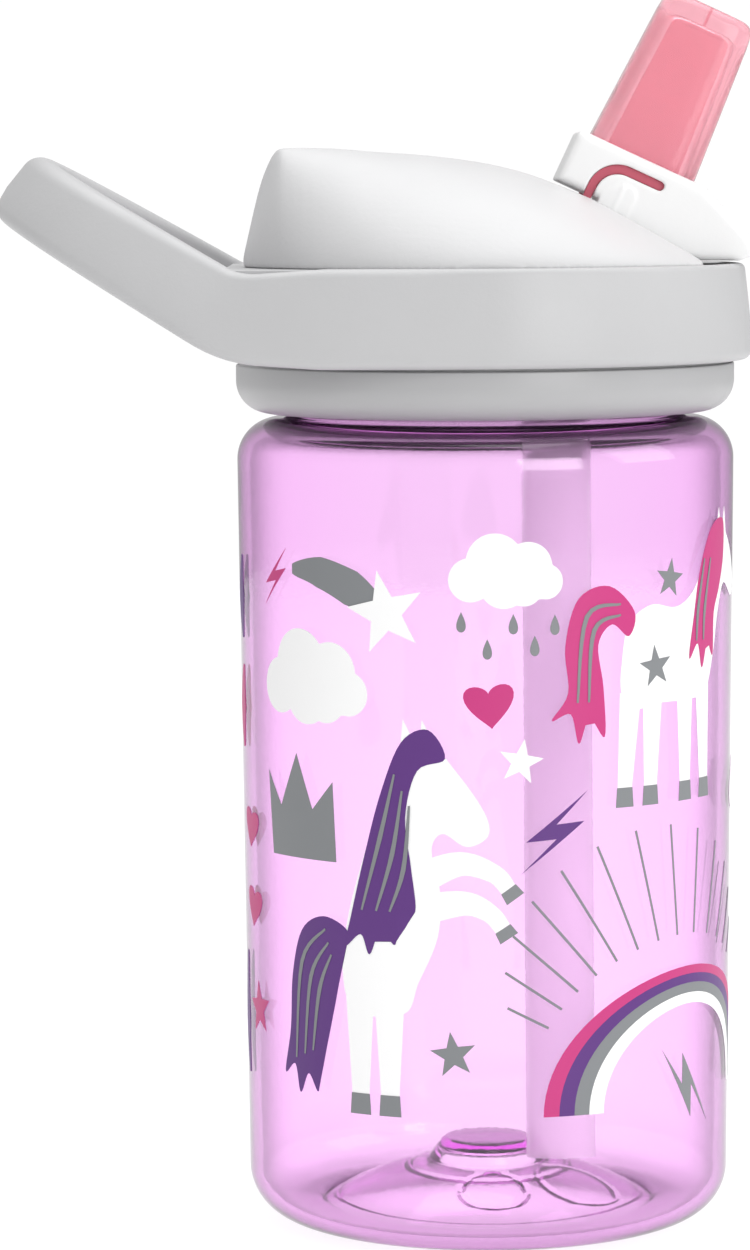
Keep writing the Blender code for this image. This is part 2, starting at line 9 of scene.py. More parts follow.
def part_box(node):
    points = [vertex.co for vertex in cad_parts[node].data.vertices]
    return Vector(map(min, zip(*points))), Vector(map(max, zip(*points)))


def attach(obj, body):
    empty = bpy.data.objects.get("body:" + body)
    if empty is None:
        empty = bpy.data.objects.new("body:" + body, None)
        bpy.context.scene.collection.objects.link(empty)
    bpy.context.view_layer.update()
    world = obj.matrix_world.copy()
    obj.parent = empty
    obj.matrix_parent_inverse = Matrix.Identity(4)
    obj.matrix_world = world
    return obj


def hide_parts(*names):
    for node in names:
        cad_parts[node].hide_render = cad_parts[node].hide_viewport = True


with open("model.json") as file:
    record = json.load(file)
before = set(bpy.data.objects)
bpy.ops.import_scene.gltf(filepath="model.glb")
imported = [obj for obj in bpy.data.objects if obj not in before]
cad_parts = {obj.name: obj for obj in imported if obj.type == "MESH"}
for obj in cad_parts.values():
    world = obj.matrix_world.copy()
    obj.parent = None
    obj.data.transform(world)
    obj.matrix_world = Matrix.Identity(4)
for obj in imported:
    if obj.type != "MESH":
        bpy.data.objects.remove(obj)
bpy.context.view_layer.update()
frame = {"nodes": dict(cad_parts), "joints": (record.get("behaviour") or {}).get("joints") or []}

# Lengths below are in millimetres. The bottle's axis and the valve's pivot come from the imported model.
mm = 0.001
axisX = sum(corner.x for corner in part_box("bottle_body")) / 2
flipJoint = next(joint for joint in frame["joints"] if joint["name"] == "valve_flip")
pivotPoint = Vector(flipJoint["pos_m"])
pivotX = (pivotPoint.x - axisX) / mm
pivotZ = pivotPoint.z / mm
valveLean = math.radians(25)


def onAxis(x, y, z):
    return Vector((axisX + x * mm, y * mm, z * mm))


def onPivot(a, b, y):
    # a runs along the open valve, b square to it
    x = a * math.sin(valveLean) + b * math.cos(valveLean)
    z = a * math.cos(valveLean) - b * math.sin(valveLean)
    return pivotPoint + Vector((x * mm, y * mm, z * mm))


# mesh helpers
def newPiece(name, points, faces, material=None, sharpAngle=38):
    shape = bmesh.new()
    corners = [shape.verts.new(point) for point in points]
    for face in faces:
        shape.faces.new([corners[i] for i in face])
    bmesh.ops.recalc_face_normals(shape, faces=shape.faces)
    mesh = bpy.data.meshes.new(name)
    shape.to_mesh(mesh)
    shape.free()
    obj = bpy.data.objects.new(name, mesh)
    bpy.context.scene.collection.objects.link(obj)
    if material:
        mesh.materials.append(material)
    shadeSmooth(obj, sharpAngle)
    return obj


def shadeSmooth(obj, sharpAngle):
    obj.data.shade_smooth()
    obj.data.set_sharp_from_angle(angle=math.radians(sharpAngle))


def applied(obj):
    # replaces the mesh with what its modifiers make of it
    graph = bpy.context.evaluated_depsgraph_get()
    made = bpy.data.meshes.new_from_object(obj.evaluated_get(graph))
    obj.modifiers.clear()
    obj.data = made
    return obj


def combine(obj, other, operation="DIFFERENCE"):
    step = obj.modifiers.new(operation.lower(), "BOOLEAN")
    step.operation = operation
    step.solver = "EXACT"
    step.object = other
    applied(obj)
    bpy.data.objects.remove(other)
    return obj


def weathered(obj, voxel, passes):
    # even small cells, then smoothing: every moulded edge gets its small round
    cells = obj.modifiers.new("cells", "REMESH")
    cells.mode = "VOXEL"
    cells.voxel_size = voxel * mm
    cells.use_smooth_shade = True
    smooth = obj.modifiers.new("smooth", "SMOOTH")
    smooth.factor = 0.5
    smooth.iterations = passes
    return applied(obj)


def rounded(points, steps=4, closed=False):
    # points are (x, y) or (x, y, corner radius)
    out = []
    count = len(points)
    for i, point in enumerate(points):
        here = Vector(point[:2])
        radius = point[2] if len(point) > 2 else 0
        if not radius or (not closed and i in (0, count - 1)):
            out.append(tuple(here))
            continue
        back = Vector(points[i - 1][:2]) - here
        ahead = Vector(points[(i + 1) % count][:2]) - here
        halfTurn = math.pi / 2 - back.angle(ahead) / 2
        reach = radius * math.tan(halfTurn)
        room = 0.48 * min(back.length, ahead.length)
        if reach > room:
            radius *= room / reach
            reach = room
        middle = here + (back.normalized() + ahead.normalized()).normalized() * radius / math.cos(halfTurn)
        start = here + back.normalized() * reach - middle
        end = here + ahead.normalized() * reach - middle
        turn = math.atan2(start.x * end.y - start.y * end.x, start.dot(end))
        for k in range(steps + 1):
            spot = middle + Matrix.Rotation(turn * k / steps, 2) @ start
            out.append(tuple(spot))
    return out


def smoothCurve(points, steps=6, closed=False):
    # a soft curve through the points
    points = [Vector(point) for point in points]
    count = len(points)
    out = []
    for i in range(count if closed else count - 1):
        a, b = points[i], points[(i + 1) % count]
        before = points[i - 1] if closed or i else a
        after = points[(i + 2) % count] if closed or i + 2 < count else b
        for k in range(steps):
            t = k / steps
            out.append(0.5 * ((2 * a) + (b - before) * t + (2 * before - 5 * a + 4 * b - after) * t ** 2
                              + (3 * a - before - 3 * b + after) * t ** 3))
    if not closed:
        out.append(points[-1])
    return out


def lofted(name, rings, material=None, closed=False, sharpAngle=38):
    points = [point for ring in rings for point in ring]
    size = len(rings[0])
    faces = []
    for row in range(len(rings) if closed else len(rings) - 1):
        first, second = row * size, (row + 1) % len(rings) * size
        for i in range(size):
            j = (i + 1) % size
            faces.append((first + i, first + j, second + j, second + i))
    if not closed:
        faces += [tuple(range(size)), tuple(range(len(points) - size, len(points)))]
    return newPiece(name, points, faces, material, sharpAngle)


def turned(name, profile, material=None, steps=192, relief=None, sharpAngle=38, at=(0, 0)):
    # a profile of (radius, height) about the bottle's axis; relief gives each point's small moves out and up
    points, rows, faces = [], [], []
    for radius, height in profile:
        if radius < 1e-6:
            rows.append([len(points)])
            points.append(onAxis(at[0], at[1], height))
            continue
        row = []
        for i in range(steps):
            angle = math.tau * i / steps
            out, up = relief(angle, radius, height) if relief else (0, 0)
            row.append(len(points))
            points.append(onAxis(at[0] + (radius + out) * math.cos(angle),
                                 at[1] + (radius + out) * math.sin(angle),
                                 height + up))
        rows.append(row)
    pairs = list(zip(rows, rows[1:]))
    if profile[0][0] > 1e-6:
        pairs.append((rows[-1], rows[0]))
    for first, second in pairs:
        for i in range(steps):
            j = (i + 1) % steps
            if len(first) == 1:
                faces.append((first[0], second[j], second[i]))
            elif len(second) == 1:
                faces.append((first[i], first[j], second[0]))
            else:
                faces.append((first[i], first[j], second[j], second[i]))
    return newPiece(name, points, faces, material, sharpAngle)


def tube(name, path, radius, sides=32, material=None, wall=0):
    # a round tube along world points; with a wall it is hollow and open at both ends
    path = [Vector(point) for point in path]
    across = Vector((0, 1, 0))
    turns = [math.tau * k / sides for k in range(sides)]
    outer, inner = [], []
    for i, place in enumerate(path):
        ahead = (path[min(i + 1, len(path) - 1)] - path[max(i - 1, 0)]).normalized()
        across = (across - ahead * across.dot(ahead)).normalized()
        other = ahead.cross(across)
        for size, row in ((radius, outer), (radius - wall, inner)):
            row.append([place + (across * math.cos(turn) + other * math.sin(turn)) * size * mm 
                        for turn in turns])
    if wall:
        return lofted(name, outer + inner[::-1], material, closed=True)
    return lofted(name, outer, material)


def block(name, low, high):
    points = [onAxis(x, y, z) for x in (low[0], high[0]) for y in (low[1], high[1]) for z in (low[2],
                                                                                              high[2])]
    faces = [(0, 1, 3, 2), (4, 6, 7, 5), (0, 4, 5, 1), (2, 3, 7, 6), (0, 2, 6, 4), (1, 5, 7, 3)]
    return newPiece(name, points, faces)


def extruded(name, outline, nearY, farY):
    # an outline of (a, b) points by the valve, drawn out along Y
    rings = [[onPivot(a, b, y) for a, b in outline] for y in (nearY, farY)]
    return lofted(name, rings)


def insetCorners(corners, inset):
    # corners of an outline moved in by the same distance from every side, with their radii
    out = []
    for i, here in enumerate(corners):
        spot = Vector(here[:2])
        back = (spot - Vector(corners[i - 1][:2])).normalized()
        ahead = (Vector(corners[(i + 1) % len(corners)][:2]) - spot).normalized()
        inBack, inAhead = Vector((-back.y, back.x)) * inset, Vector((-ahead.y, ahead.x)) * inset
        middle = inBack + inAhead
        out.append((*(spot + middle * inset ** 2 / max(1e-9, middle.dot(inBack))),
                    *here[2:]) if inset else here)
    return out


def rodAlongY(name, radius, half, steps=96):
    rings = [[pivotPoint + Vector((radius * mm * math.cos(math.tau * k / steps), y * mm,
                                   radius * mm * math.sin(math.tau * k / steps))) for k in range(steps)]
             for y in (-half, half)]
    return lofted(name, rings)


# shader groups, each built once and placed in the finishes
def shaderGroup(name, inputs, outputs):
    group = bpy.data.node_groups.new(name, "ShaderNodeTree")
    for label, kind, value in inputs:
        group.interface.new_socket(name=label, in_out="INPUT", socket_type=kind).default_value = value
    for label, kind in outputs:
        group.interface.new_socket(name=label, in_out="OUTPUT", socket_type=kind)
    return group, group.nodes.new("NodeGroupInput"), group.nodes.new("NodeGroupOutput")


def noiseNode(group, coordinates, scale, detail, roughness=0.5):
    node = group.nodes.new("ShaderNodeTexNoise")
    node.inputs["Detail"].default_value = detail
    node.inputs["Roughness"].default_value = roughness
    group.links.new(coordinates, node.inputs["Vector"])
    if hasattr(scale, "is_linked"):
        group.links.new(scale, node.inputs["Scale"])
    else:
        node.inputs["Scale"].default_value = scale
    return node.outputs["Fac"]


def mathNode(tree, operation, first, second):
    node = tree.nodes.new("ShaderNodeMath")
    node.operation = operation
    for socket, value in zip(node.inputs, (first, second)):
        if hasattr(value, "is_linked"):
            tree.links.new(value, socket)
        else:
            socket.default_value = value
    return node.outputs[0]


def makeGrainGroup():
    # tool marks and fine spark texture left by the mould
    group, given, result = shaderGroup("mouldGrain", [("Scale", "NodeSocketFloat", 1500.0),
                                                      ("Fineness", "NodeSocketFloat", 1.0),
                                                      ("Flow", "NodeSocketFloat", 0.3)],
                                       [("Height", "NodeSocketFloat"), ("Mask", "NodeSocketFloat")])
    place = group.nodes.new("ShaderNodeTexCoord").outputs["Object"]
    fine = noiseNode(group, place, given.outputs["Scale"], 3.0, 0.6)
    slow = noiseNode(group, place, 70.0, 2.0)
    total = mathNode(group, "ADD", mathNode(group, "MULTIPLY", fine, given.outputs["Fineness"]),
                     mathNode(group, "MULTIPLY", slow, given.outputs["Flow"]))
    group.links.new(total, result.inputs["Height"])
    group.links.new(slow, result.inputs["Mask"])
    return group


def makeHandlingGroup():
    # smudges and fine rubbing that change the gloss
    group, given, result = shaderGroup("handling",
                                       [("Least", "NodeSocketFloat", 0.3), ("Most", "NodeSocketFloat", 0.5),
                                                    ("Scale", "NodeSocketFloat", 60.0)],
                                       [("Roughness", "NodeSocketFloat")])
    place = group.nodes.new("ShaderNodeTexCoord").outputs["Object"]
    smudge = noiseNode(group, place, given.outputs["Scale"], 5.0, 0.6)
    spread = group.nodes.new("ShaderNodeMapRange")
    spread.inputs["From Min"].default_value = 0.35
    spread.inputs["From Max"].default_value = 0.68
    group.links.new(smudge, spread.inputs["Value"])
    group.links.new(given.outputs["Least"], spread.inputs["To Min"])
    group.links.new(given.outputs["Most"], spread.inputs["To Max"])
    group.links.new(spread.outputs["Result"], result.inputs["Roughness"])
    return group


def makeToneGroup():
    # slow drift of the colour, as in moulded or printed material
    group, given, result = shaderGroup("toneDrift", [("Colour", "NodeSocketColor", (1, 1, 1, 1)),
                                                     ("Drift", "NodeSocketFloat", 0.04),
                                                     ("Scale", "NodeSocketFloat", 90.0)],
                                       [("Colour", "NodeSocketColor")])
    place = group.nodes.new("ShaderNodeTexCoord").outputs["Object"]
    cloudy = noiseNode(group, place, given.outputs["Scale"], 4.0)
    lift = mathNode(group, "MULTIPLY", mathNode(group, "SUBTRACT", cloudy, 0.5), given.outputs["Drift"])
    shift = group.nodes.new("ShaderNodeHueSaturation")
    group.links.new(mathNode(group, "ADD", lift, 1.0), shift.inputs["Value"])
    group.links.new(given.outputs["Colour"], shift.inputs["Color"])
    group.links.new(shift.outputs["Color"], result.inputs["Colour"])
    return group


grainGroup = makeGrainGroup()
handlingGroup = makeHandlingGroup()
toneGroup = makeToneGroup()


def place(tree, group, values):
    node = tree.nodes.new("ShaderNodeGroup")
    node.node_tree = group
    for label, value in values.items():
        node.inputs[label].default_value = value
    return node


def finishOf(name, colour, gloss=(0.35, 0.5), drift=0.04, driftScale=90.0, grain=(1500.0, 1.0, 0.3),
             depth=0.02,
             **plain):
    # a moulded or printed finish: colour drift, gloss that varies, and a fine bump
    material = bpy.data.materials.new(name)
    material.use_nodes = True
    tree = material.node_tree
    shader = tree.nodes["Principled BSDF"]
    tone = place(tree, toneGroup, {"Colour": (*colour, 1), "Drift": drift, "Scale": driftScale})
    tree.links.new(tone.outputs["Colour"], shader.inputs["Base Color"])
    rub = place(tree, handlingGroup, {"Least": gloss[0], "Most": gloss[1]})
    tree.links.new(rub.outputs["Roughness"], shader.inputs["Roughness"])
    relief = place(tree, grainGroup, dict(zip(("Scale", "Fineness", "Flow"), grain)))
    bump = tree.nodes.new("ShaderNodeBump")
    bump.inputs["Distance"].default_value = depth * mm
    tree.links.new(relief.outputs["Height"], bump.inputs["Height"])
    tree.links.new(bump.outputs["Normal"], shader.inputs["Normal"])
    for label, value in plain.items():
        shader.inputs[label.replace("_", " ")].default_value = value
    return material


finishes = {
    "capGrey": dict(colour=(0.49, 0.49, 0.497), gloss=(0.38, 0.52), drift=0.05, grain=(1400.0, 1.0, 0.6),
                    depth=0.03),
    # painted light: the cap's grey plastic made lighter for the guard's upward faces
    "guardGreyLit": dict(colour=(0.61, 0.61, 0.617), gloss=(0.38, 0.52), drift=0.05, grain=(1400.0, 1.0, 0.6),
                      depth=0.03),
    # painted shade: the cap's grey plastic made darker for the skirt under the band's overhang
    "skirtGreyShaded": dict(colour=(0.42, 0.42, 0.427), gloss=(0.34, 0.46), drift=0.04, depth=0.015),
    "stemWhite": dict(colour=(0.84, 0.84, 0.84), gloss=(0.3, 0.42), drift=0.03, depth=0.015),
    "sealWhite": dict(colour=(0.78, 0.78, 0.78), gloss=(0.45, 0.6), drift=0.05, depth=0.02),
    "valvePink": dict(colour=(0.965, 0.50, 0.575), gloss=(0.08, 0.16), drift=0.05, driftScale=140.0,
                      depth=0.012,
                      Transmission_Weight=0.75, IOR=1.33),
    # painted shade: the valve's silicone in the stem's slot, given a darker colour for the recess
    "slotShadedPink": dict(colour=(0.55, 0.10, 0.15), gloss=(0.3, 0.4), drift=0.05, depth=0.01),
    "strawHaze": dict(colour=(0.98, 0.95, 0.98), gloss=(0.34, 0.42), drift=0.02, depth=0.006,
                      Transmission_Weight=0.78, IOR=1.12),
    "inkWhite": dict(colour=(0.93, 0.93, 0.93), gloss=(0.42, 0.5), drift=0.02, grain=(2200.0, 1.0, 0.2),
                     depth=0.006),
    "inkGrey": dict(colour=(0.21, 0.22, 0.23), gloss=(0.4, 0.5), drift=0.06, grain=(2200.0, 1.0, 0.2),
                    depth=0.006),
    "inkPurple": dict(colour=(0.095, 0.02, 0.19), gloss=(0.4, 0.5), drift=0.06, grain=(2200.0, 1.0, 0.2),
                      depth=0.006),
    "inkMagenta": dict(colour=(0.54, 0.028, 0.19), gloss=(0.4, 0.5), drift=0.06, grain=(2200.0, 1.0, 0.2),
                       depth=0.006),
}
finish = {name: finishOf(name, **values) for name, values in finishes.items()}


def makeNeckShadeGroup():
    # painted shade: a darker tint over the neck and shoulder, and over the rim of the base
    group, given, result = shaderGroup("paintedNeckBaseShade", [("Neck Start", "NodeSocketFloat", 0.112),
                                                     ("Neck End", "NodeSocketFloat", 0.119),
                                                     ("Base Height", "NodeSocketFloat", 0.004),
                                                     ("Neck Shade", "NodeSocketFloat", 0.6),
                                                     ("Base Shade", "NodeSocketFloat", 0.4)],
                                       [("Mask", "NodeSocketFloat")])
    spot = group.nodes.new("ShaderNodeSeparateXYZ")
    group.links.new(group.nodes.new("ShaderNodeTexCoord").outputs["Object"], spot.inputs["Vector"])
    masks = []
    for start, end, depth in (("Neck Start", "Neck End", "Neck Shade"), ("Base Height", None, "Base Shade")):
        ramp = group.nodes.new("ShaderNodeMapRange")
        ramp.interpolation_type = "SMOOTHSTEP"
        group.links.new(spot.outputs["Z"], ramp.inputs["Value"])
        group.links.new(given.outputs[start], ramp.inputs["From Min"])
        if end:
            group.links.new(given.outputs[end], ramp.inputs["From Max"])
        else:
            ramp.inputs["From Max"].default_value = 0.0
        masks.append(mathNode(group, "MULTIPLY", ramp.outputs["Result"], given.outputs[depth]))
    group.links.new(mathNode(group, "MAXIMUM", *masks), result.inputs["Mask"])
    return group


def makeTintedClear():
    # the edge colour is painted shade for the wall seen at a grazing angle
    tint = {"density": 142.0, "let through": (0.948, 0.0, 0.948), "edge": (0.06, 0.025, 0.065),
            "smudge": (0.0, 0.07),
            "mirror": 0.2}
    material = bpy.data.materials.new("tintedClear")
    material.use_nodes = True
    tree = material.node_tree
    shader = tree.nodes["Principled BSDF"]
    shader.inputs["Transmission Weight"].default_value = 1.0
    shader.inputs["IOR"].default_value = 1.5
    shader.inputs["Specular IOR Level"].default_value = tint["mirror"]
    rub = place(tree, handlingGroup, {"Least": tint["smudge"][0], "Most": tint["smudge"][1], "Scale": 45.0})
    tree.links.new(rub.outputs["Roughness"], shader.inputs["Roughness"])
    # painted shade at grazing angles, standing in for the longer path through the tinted wall and for
    # reflections of dark surroundings
    facing = tree.nodes.new("ShaderNodeLayerWeight")
    facing.inputs["Blend"].default_value = 0.5
    rise = tree.nodes.new("ShaderNodeMapRange")
    rise.interpolation_type = "SMOOTHSTEP"
    rise.inputs["From Min"].default_value = 0.42
    rise.inputs["From Max"].default_value = 0.97
    tree.links.new(facing.outputs["Facing"], rise.inputs["Value"])
    paintedShadeMix = tree.nodes.new("ShaderNodeMix")
    paintedShadeMix.data_type = "RGBA"
    paintedShadeMix.inputs[6].default_value = (1, 1, 1, 1)
    paintedShadeMix.inputs[7].default_value = (*tint["edge"], 1)
    # painted shade on the neck, shoulder and base rim darkens the wall's tint
    paintedShade = place(tree, makeNeckShadeGroup(), {})
    tree.links.new(mathNode(tree, "MAXIMUM", rise.outputs["Result"], paintedShade.outputs["Mask"]), paintedShadeMix.inputs[0])
    tree.links.new(paintedShadeMix.outputs[2], shader.inputs["Base Color"])
    relief = place(tree, grainGroup, {"Scale": 900.0, "Fineness": 0.15, "Flow": 1.0})
    bump = tree.nodes.new("ShaderNodeBump")
    bump.inputs["Distance"].default_value = 0.03 * mm
    tree.links.new(relief.outputs["Height"], bump.inputs["Height"])
    tree.links.new(bump.outputs["Normal"], shader.inputs["Normal"])
    soak = tree.nodes.new("ShaderNodeVolumeAbsorption")
    soak.inputs["Color"].default_value = (*tint["let through"], 1)
    soak.inputs["Density"].default_value = tint["density"]
    tree.links.new(soak.outputs["Volume"], tree.nodes["Material Output"].inputs["Volume"])
    return material


finish["tintedClear"] = makeTintedClear()
print("finishes ready")

# the clear bottle
bottle = {
    "topRadius": 36.2, "baseRadius": 35.2, "wall": 1.8, "shoulder": 117.6, "shoulderRound": 6.0,
          "baseRound": 7.5,
    "footInner": 24.5, "punt": 7.2, "nubRadius": 8.9, "nubHeight": 3.1, "neckRadius": 29.0, "neckTop": 128.3,
    "pitch": 4.5, "threadSize": 1.3, "threadStart": 3.9, "threadTurns": 1.15,
}
sideTop = bottle["shoulder"] - bottle["shoulderRound"]


def puntHeight(radius):
    return bottle["punt"] * (1 - (radius / bottle["footInner"]) ** 2)


def arcPoints(centre, radius, start, end, steps):
    angles = [math.radians(start + (end - start) * i / steps) for i in range(steps + 1)]
    return [(centre[0] + radius * math.cos(a), centre[1] + radius * math.sin(a)) for a in angles]


def spaced(first, last, steps):
    return [first + (last - first) * i / steps for i in range(steps + 1)]


def bottleRelief(angle, radius, height):
    # the screw thread on the neck, and plain round mould marks under the base
    neck = bottle["neckRadius"]
    if abs(radius - neck) < 0.01 and height > bottle["shoulder"] + 1.2:
        out = 0.0
        for lap in (0, 1):
            turn = angle / math.tau + lap
            if turn > bottle["threadTurns"]:
                continue
            fade = min(1.0, turn / 0.12, (bottle["threadTurns"] - turn) / 0.12)
            centre = bottle["shoulder"] + bottle["threadStart"] + bottle["pitch"] * turn
            away = abs(height - centre) / bottle["threadSize"]
            if away < 1:
                out = max(out, bottle["threadSize"] * math.sqrt(1 - away ** 2) * max(0.0, fade))
        return out, 0.0
    under = puntHeight(radius)
    if bottle["nubRadius"] < radius < bottle["footInner"] - 0.5 and abs(height - under) < 0.01:
        x, y = radius * math.cos(angle), radius * math.sin(angle)
        up = 0.0
        for markX, markY, size in ((0.5, -13.6, 4.6), (12.4, -8.2, 5.6)):
            away = abs(math.hypot(x - markX, y - markY) - size)
            up -= 0.22 * max(0.0, 1 - away / 0.55)
        for ring in (11.3, 21.6):
            up -= 0.2 * max(0.0, 1 - abs(radius - ring) / 0.6)
        return 0.0, up
    return 0.0, 0.0


def makeBottle():
    wall, neck, nub = bottle["wall"], bottle["neckRadius"], bottle["nubRadius"]
    corner = (bottle["baseRadius"] - bottle["baseRound"], bottle["baseRound"])
    shoulder = (bottle["topRadius"] - bottle["shoulderRound"], sideTop)
    neckIn = neck - wall
    nubIn = nub - 1.2
    nubUnder = puntHeight(nubIn) + bottle["nubHeight"] - 0.2
    nubTop = puntHeight(nub) + wall + bottle["nubHeight"]
    floorLine = spaced(nub + 0.3, bottle["footInner"], 44)
    nubLine = rounded([(0.0, nubTop + 0.2), (nub - 2.4, nubTop, 1.2), (nub - 0.2, nubTop - 2.9, 0.8),
                       (nub + 0.3, puntHeight(nub + 0.3) + wall)], 6)
    profile = nubLine[:-1]
    profile += [(r, puntHeight(r) + wall) for r in floorLine]
    profile += arcPoints(corner, bottle["baseRound"] - wall, -90, 0, 16)
    profile += [(bottle["baseRadius"] - wall + (bottle["topRadius"] - bottle["baseRadius"]) * t,
                 corner[1] + (sideTop - corner[1]) * t) for t in spaced(0.1, 0.9, 8)]
    profile += arcPoints(shoulder, bottle["shoulderRound"] - wall, 0, 90, 12)
    profile += rounded([(shoulder[0] - 0.4, bottle["shoulder"] - wall),
                        (neckIn, bottle["shoulder"] - wall, 1.0),
                        (neckIn, bottle["neckTop"], 0.6), (neck, bottle["neckTop"], 0.6),
                        (neck, bottle["neckTop"] - 1.0)], 5)[1:]
    profile += [(neck, z) for z in spaced(bottle["neckTop"] - 1.3, bottle["shoulder"] + 1.3, 40)]
    profile += rounded([(neck, bottle["shoulder"] + 1.1), (neck, bottle["shoulder"], 0.9),
                        (shoulder[0] + 0.1, bottle["shoulder"])], 5)[1:-1]
    profile += arcPoints(shoulder, bottle["shoulderRound"], 90, 0, 18)
    profile += [(bottle["baseRadius"] + (bottle["topRadius"] - bottle["baseRadius"]) * t,
                 corner[1] + (sideTop - corner[1]) * t) for t in spaced(0.9, 0.1, 8)]
    profile += arcPoints(corner, bottle["baseRound"], 0, -90, 20)
    profile += [(r, puntHeight(r)) for r in reversed(floorLine)]
    profile += rounded([(nub + 0.3, puntHeight(nub + 0.3)), (nubIn, puntHeight(nubIn), 0.5),
                        (nubIn - 1.0, nubUnder, 1.0), (0.0, nubUnder + 0.2)], 6)[1:]
    return turned("bottleShell", profile, finish["tintedClear"], 256, bottleRelief, 60)


bottleShell = makeBottle()
bottleShell.visible_shadow = False    # so that lamps light the straw and the floor through the clear wall
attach(bottleShell, "bottle")
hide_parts("bottle_body")
print("bottle made")

# screw cap, seals and straw
cap = {
    "boreRadius": 30.7, "outerRadius": 36.3, "rimRadius": 35.7, "deckUnder": 130.3, "deckTop": 132.6,
    "skirtBase": 118.4, "skirtTop": 125.4, "skirtRound": 4.6, "bossDrop": 6.0, "nippleLength": 12.0,
    "strawOffset": 10.4, "strawRadius": 5.0, "strawWall": 0.8, "portBore": 2.2, "portWall": 1.0,
       "drumRadius": 5.0,
}


def makeScrewCap():
    wallRadius = cap["boreRadius"] + 1.9
    trough = cap["rimRadius"] - 1.4
    troughZ = cap["skirtBase"] + 3.6
    top = cap["deckTop"]
    profile = rounded([(0.0, top), (wallRadius, top, 0.4), (wallRadius, troughZ, 0.3), (trough, troughZ, 0.3),
                       (trough, top + 1.9, 0.3), (cap["rimRadius"], top + 1.9, 0.3),
                       (cap["rimRadius"], cap["skirtTop"], 0.15), (cap["outerRadius"], cap["skirtTop"], 0.35),
                       (cap["outerRadius"], cap["skirtBase"] + cap["skirtRound"])], 5)[:-1]
    profile += arcPoints((cap["outerRadius"] - cap["skirtRound"], cap["skirtBase"] + cap["skirtRound"]),
                         cap["skirtRound"], 0, -90, 14)
    profile += rounded([(cap["boreRadius"] + 1.2, cap["skirtBase"]),
                        (cap["boreRadius"], cap["skirtBase"], 0.5),
                        (cap["boreRadius"], cap["deckUnder"], 0.3), (0.0, cap["deckUnder"])], 5)[1:]
    piece = turned("screwCap", profile, finish["skirtGreyShaded"], 224)
    portOuter = cap["portBore"] + cap["portWall"]
    under = cap["deckUnder"] - cap["bossDrop"]
    nipple = cap["strawRadius"] - cap["strawWall"] - 0.3
    boss = block("portBoss", (cap["strawOffset"] - nipple - 0.6, -nipple - 0.6, under),
                 (pivotX + portOuter + 0.6, nipple + 0.6, cap["deckUnder"] + 0.5))
    combine(piece, boss, "UNION")
    combine(piece, tube("strawNipple", [onAxis(cap["strawOffset"], 0, z)
                                        for z in (under - cap["nippleLength"], under + 0.5)], nipple, 48),
            "UNION")
    riser = tube("portRiser", [onAxis(pivotX, 0, z) for z in (cap["deckTop"] - 0.5, pivotZ)], portOuter, 48)
    combine(riser, rodAlongY("riserSaddle", cap["drumRadius"] + 1.6, 13))
    combine(piece, riser, "UNION")
    run = pivotX - cap["strawOffset"]
    bends = [(0, -cap["nippleLength"] - 1), (0, 0), (0.12, 1.9), (0.5, 3.4), (0.88, 4.9), (1, 6.8),
             (1, pivotZ - under)]
    bore = tube("portBore", [onAxis(cap["strawOffset"] + share * run, 0, under + up) for share, up in bends],
                cap["portBore"], 32)
    combine(piece, bore)
    shadeSmooth(piece, 38)
    return piece


screwCap = makeScrewCap()
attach(screwCap, "cap")
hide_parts("screw_cap")


def makeStraw():
    start = cap["deckUnder"] - cap["bossDrop"] - 0.3
    straight = cap["nippleLength"] + 1.0
    endZ = puntHeight(bottle["nubRadius"]) + bottle["wall"] + 1.75
    reach = bottle["nubRadius"] + cap["strawRadius"] + 0.1
    endY = -math.sqrt(reach ** 2 - cap["strawOffset"] ** 2)
    fall = start - straight - endZ
    path = [onAxis(cap["strawOffset"], 0, start), onAxis(cap["strawOffset"], 0, start - straight)]
    path += [onAxis(cap["strawOffset"], endY * t ** 1.4, start - straight - fall * t) for t in spaced(0, 1,
                                                                                                      40)[1:]]
    return tube("drinkStraw", path, cap["strawRadius"], 64, finish["strawHaze"], cap["strawWall"])


straw = makeStraw()
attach(straw, "cap")
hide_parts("straw")
for nodeName in ("cap_gasket", "port_seal", "vent_valve"):
    frame["nodes"][nodeName].data.materials.clear()
    frame["nodes"][nodeName].data.materials.append(finish["sealWhite"])
print("cap, seals and straw made")

# carry band and loop
band = {
    "baseRadius": 38.8, "base": 125.8, "top": 139.7, "draft": 1.0, "boreRadius": 36.0, "reach": 73.9,
        "thick": 6.0,
    "loopHeight": 11.8, "endHeight": 11.0, "power": 2.2, "tilt": math.radians(30.6), "bendAt": 35.8,
        "bendLength": 8.0,
    "deckReach": 37.4, "plateInset": 2.8, "plateThick": 2.0, "plateStep": 0.2, "opening": 31.3,
}
bandMid = (band["base"] + band["top"]) / 2


def bandContour(angle):
    # plan of the band: a circle that is drawn out to the loop's long oval
    c, s = math.cos(angle), math.sin(angle)
    if c >= 0:
        return Vector((band["baseRadius"] * c, band["baseRadius"] * s)), Vector((c, s))
    power = 2 / band["power"]
    x = -band["reach"] * abs(c) ** power
    y = math.copysign(band["baseRadius"] * abs(s) ** power, s)
    normal = Vector((-abs(x / band["reach"]) ** (band["power"] - 1) / band["reach"],
                     math.copysign(abs(y / band["baseRadius"]) ** (band["power"] - 1) / band["baseRadius"],
                                   y)))
    return Vector((x, y)), normal.normalized()


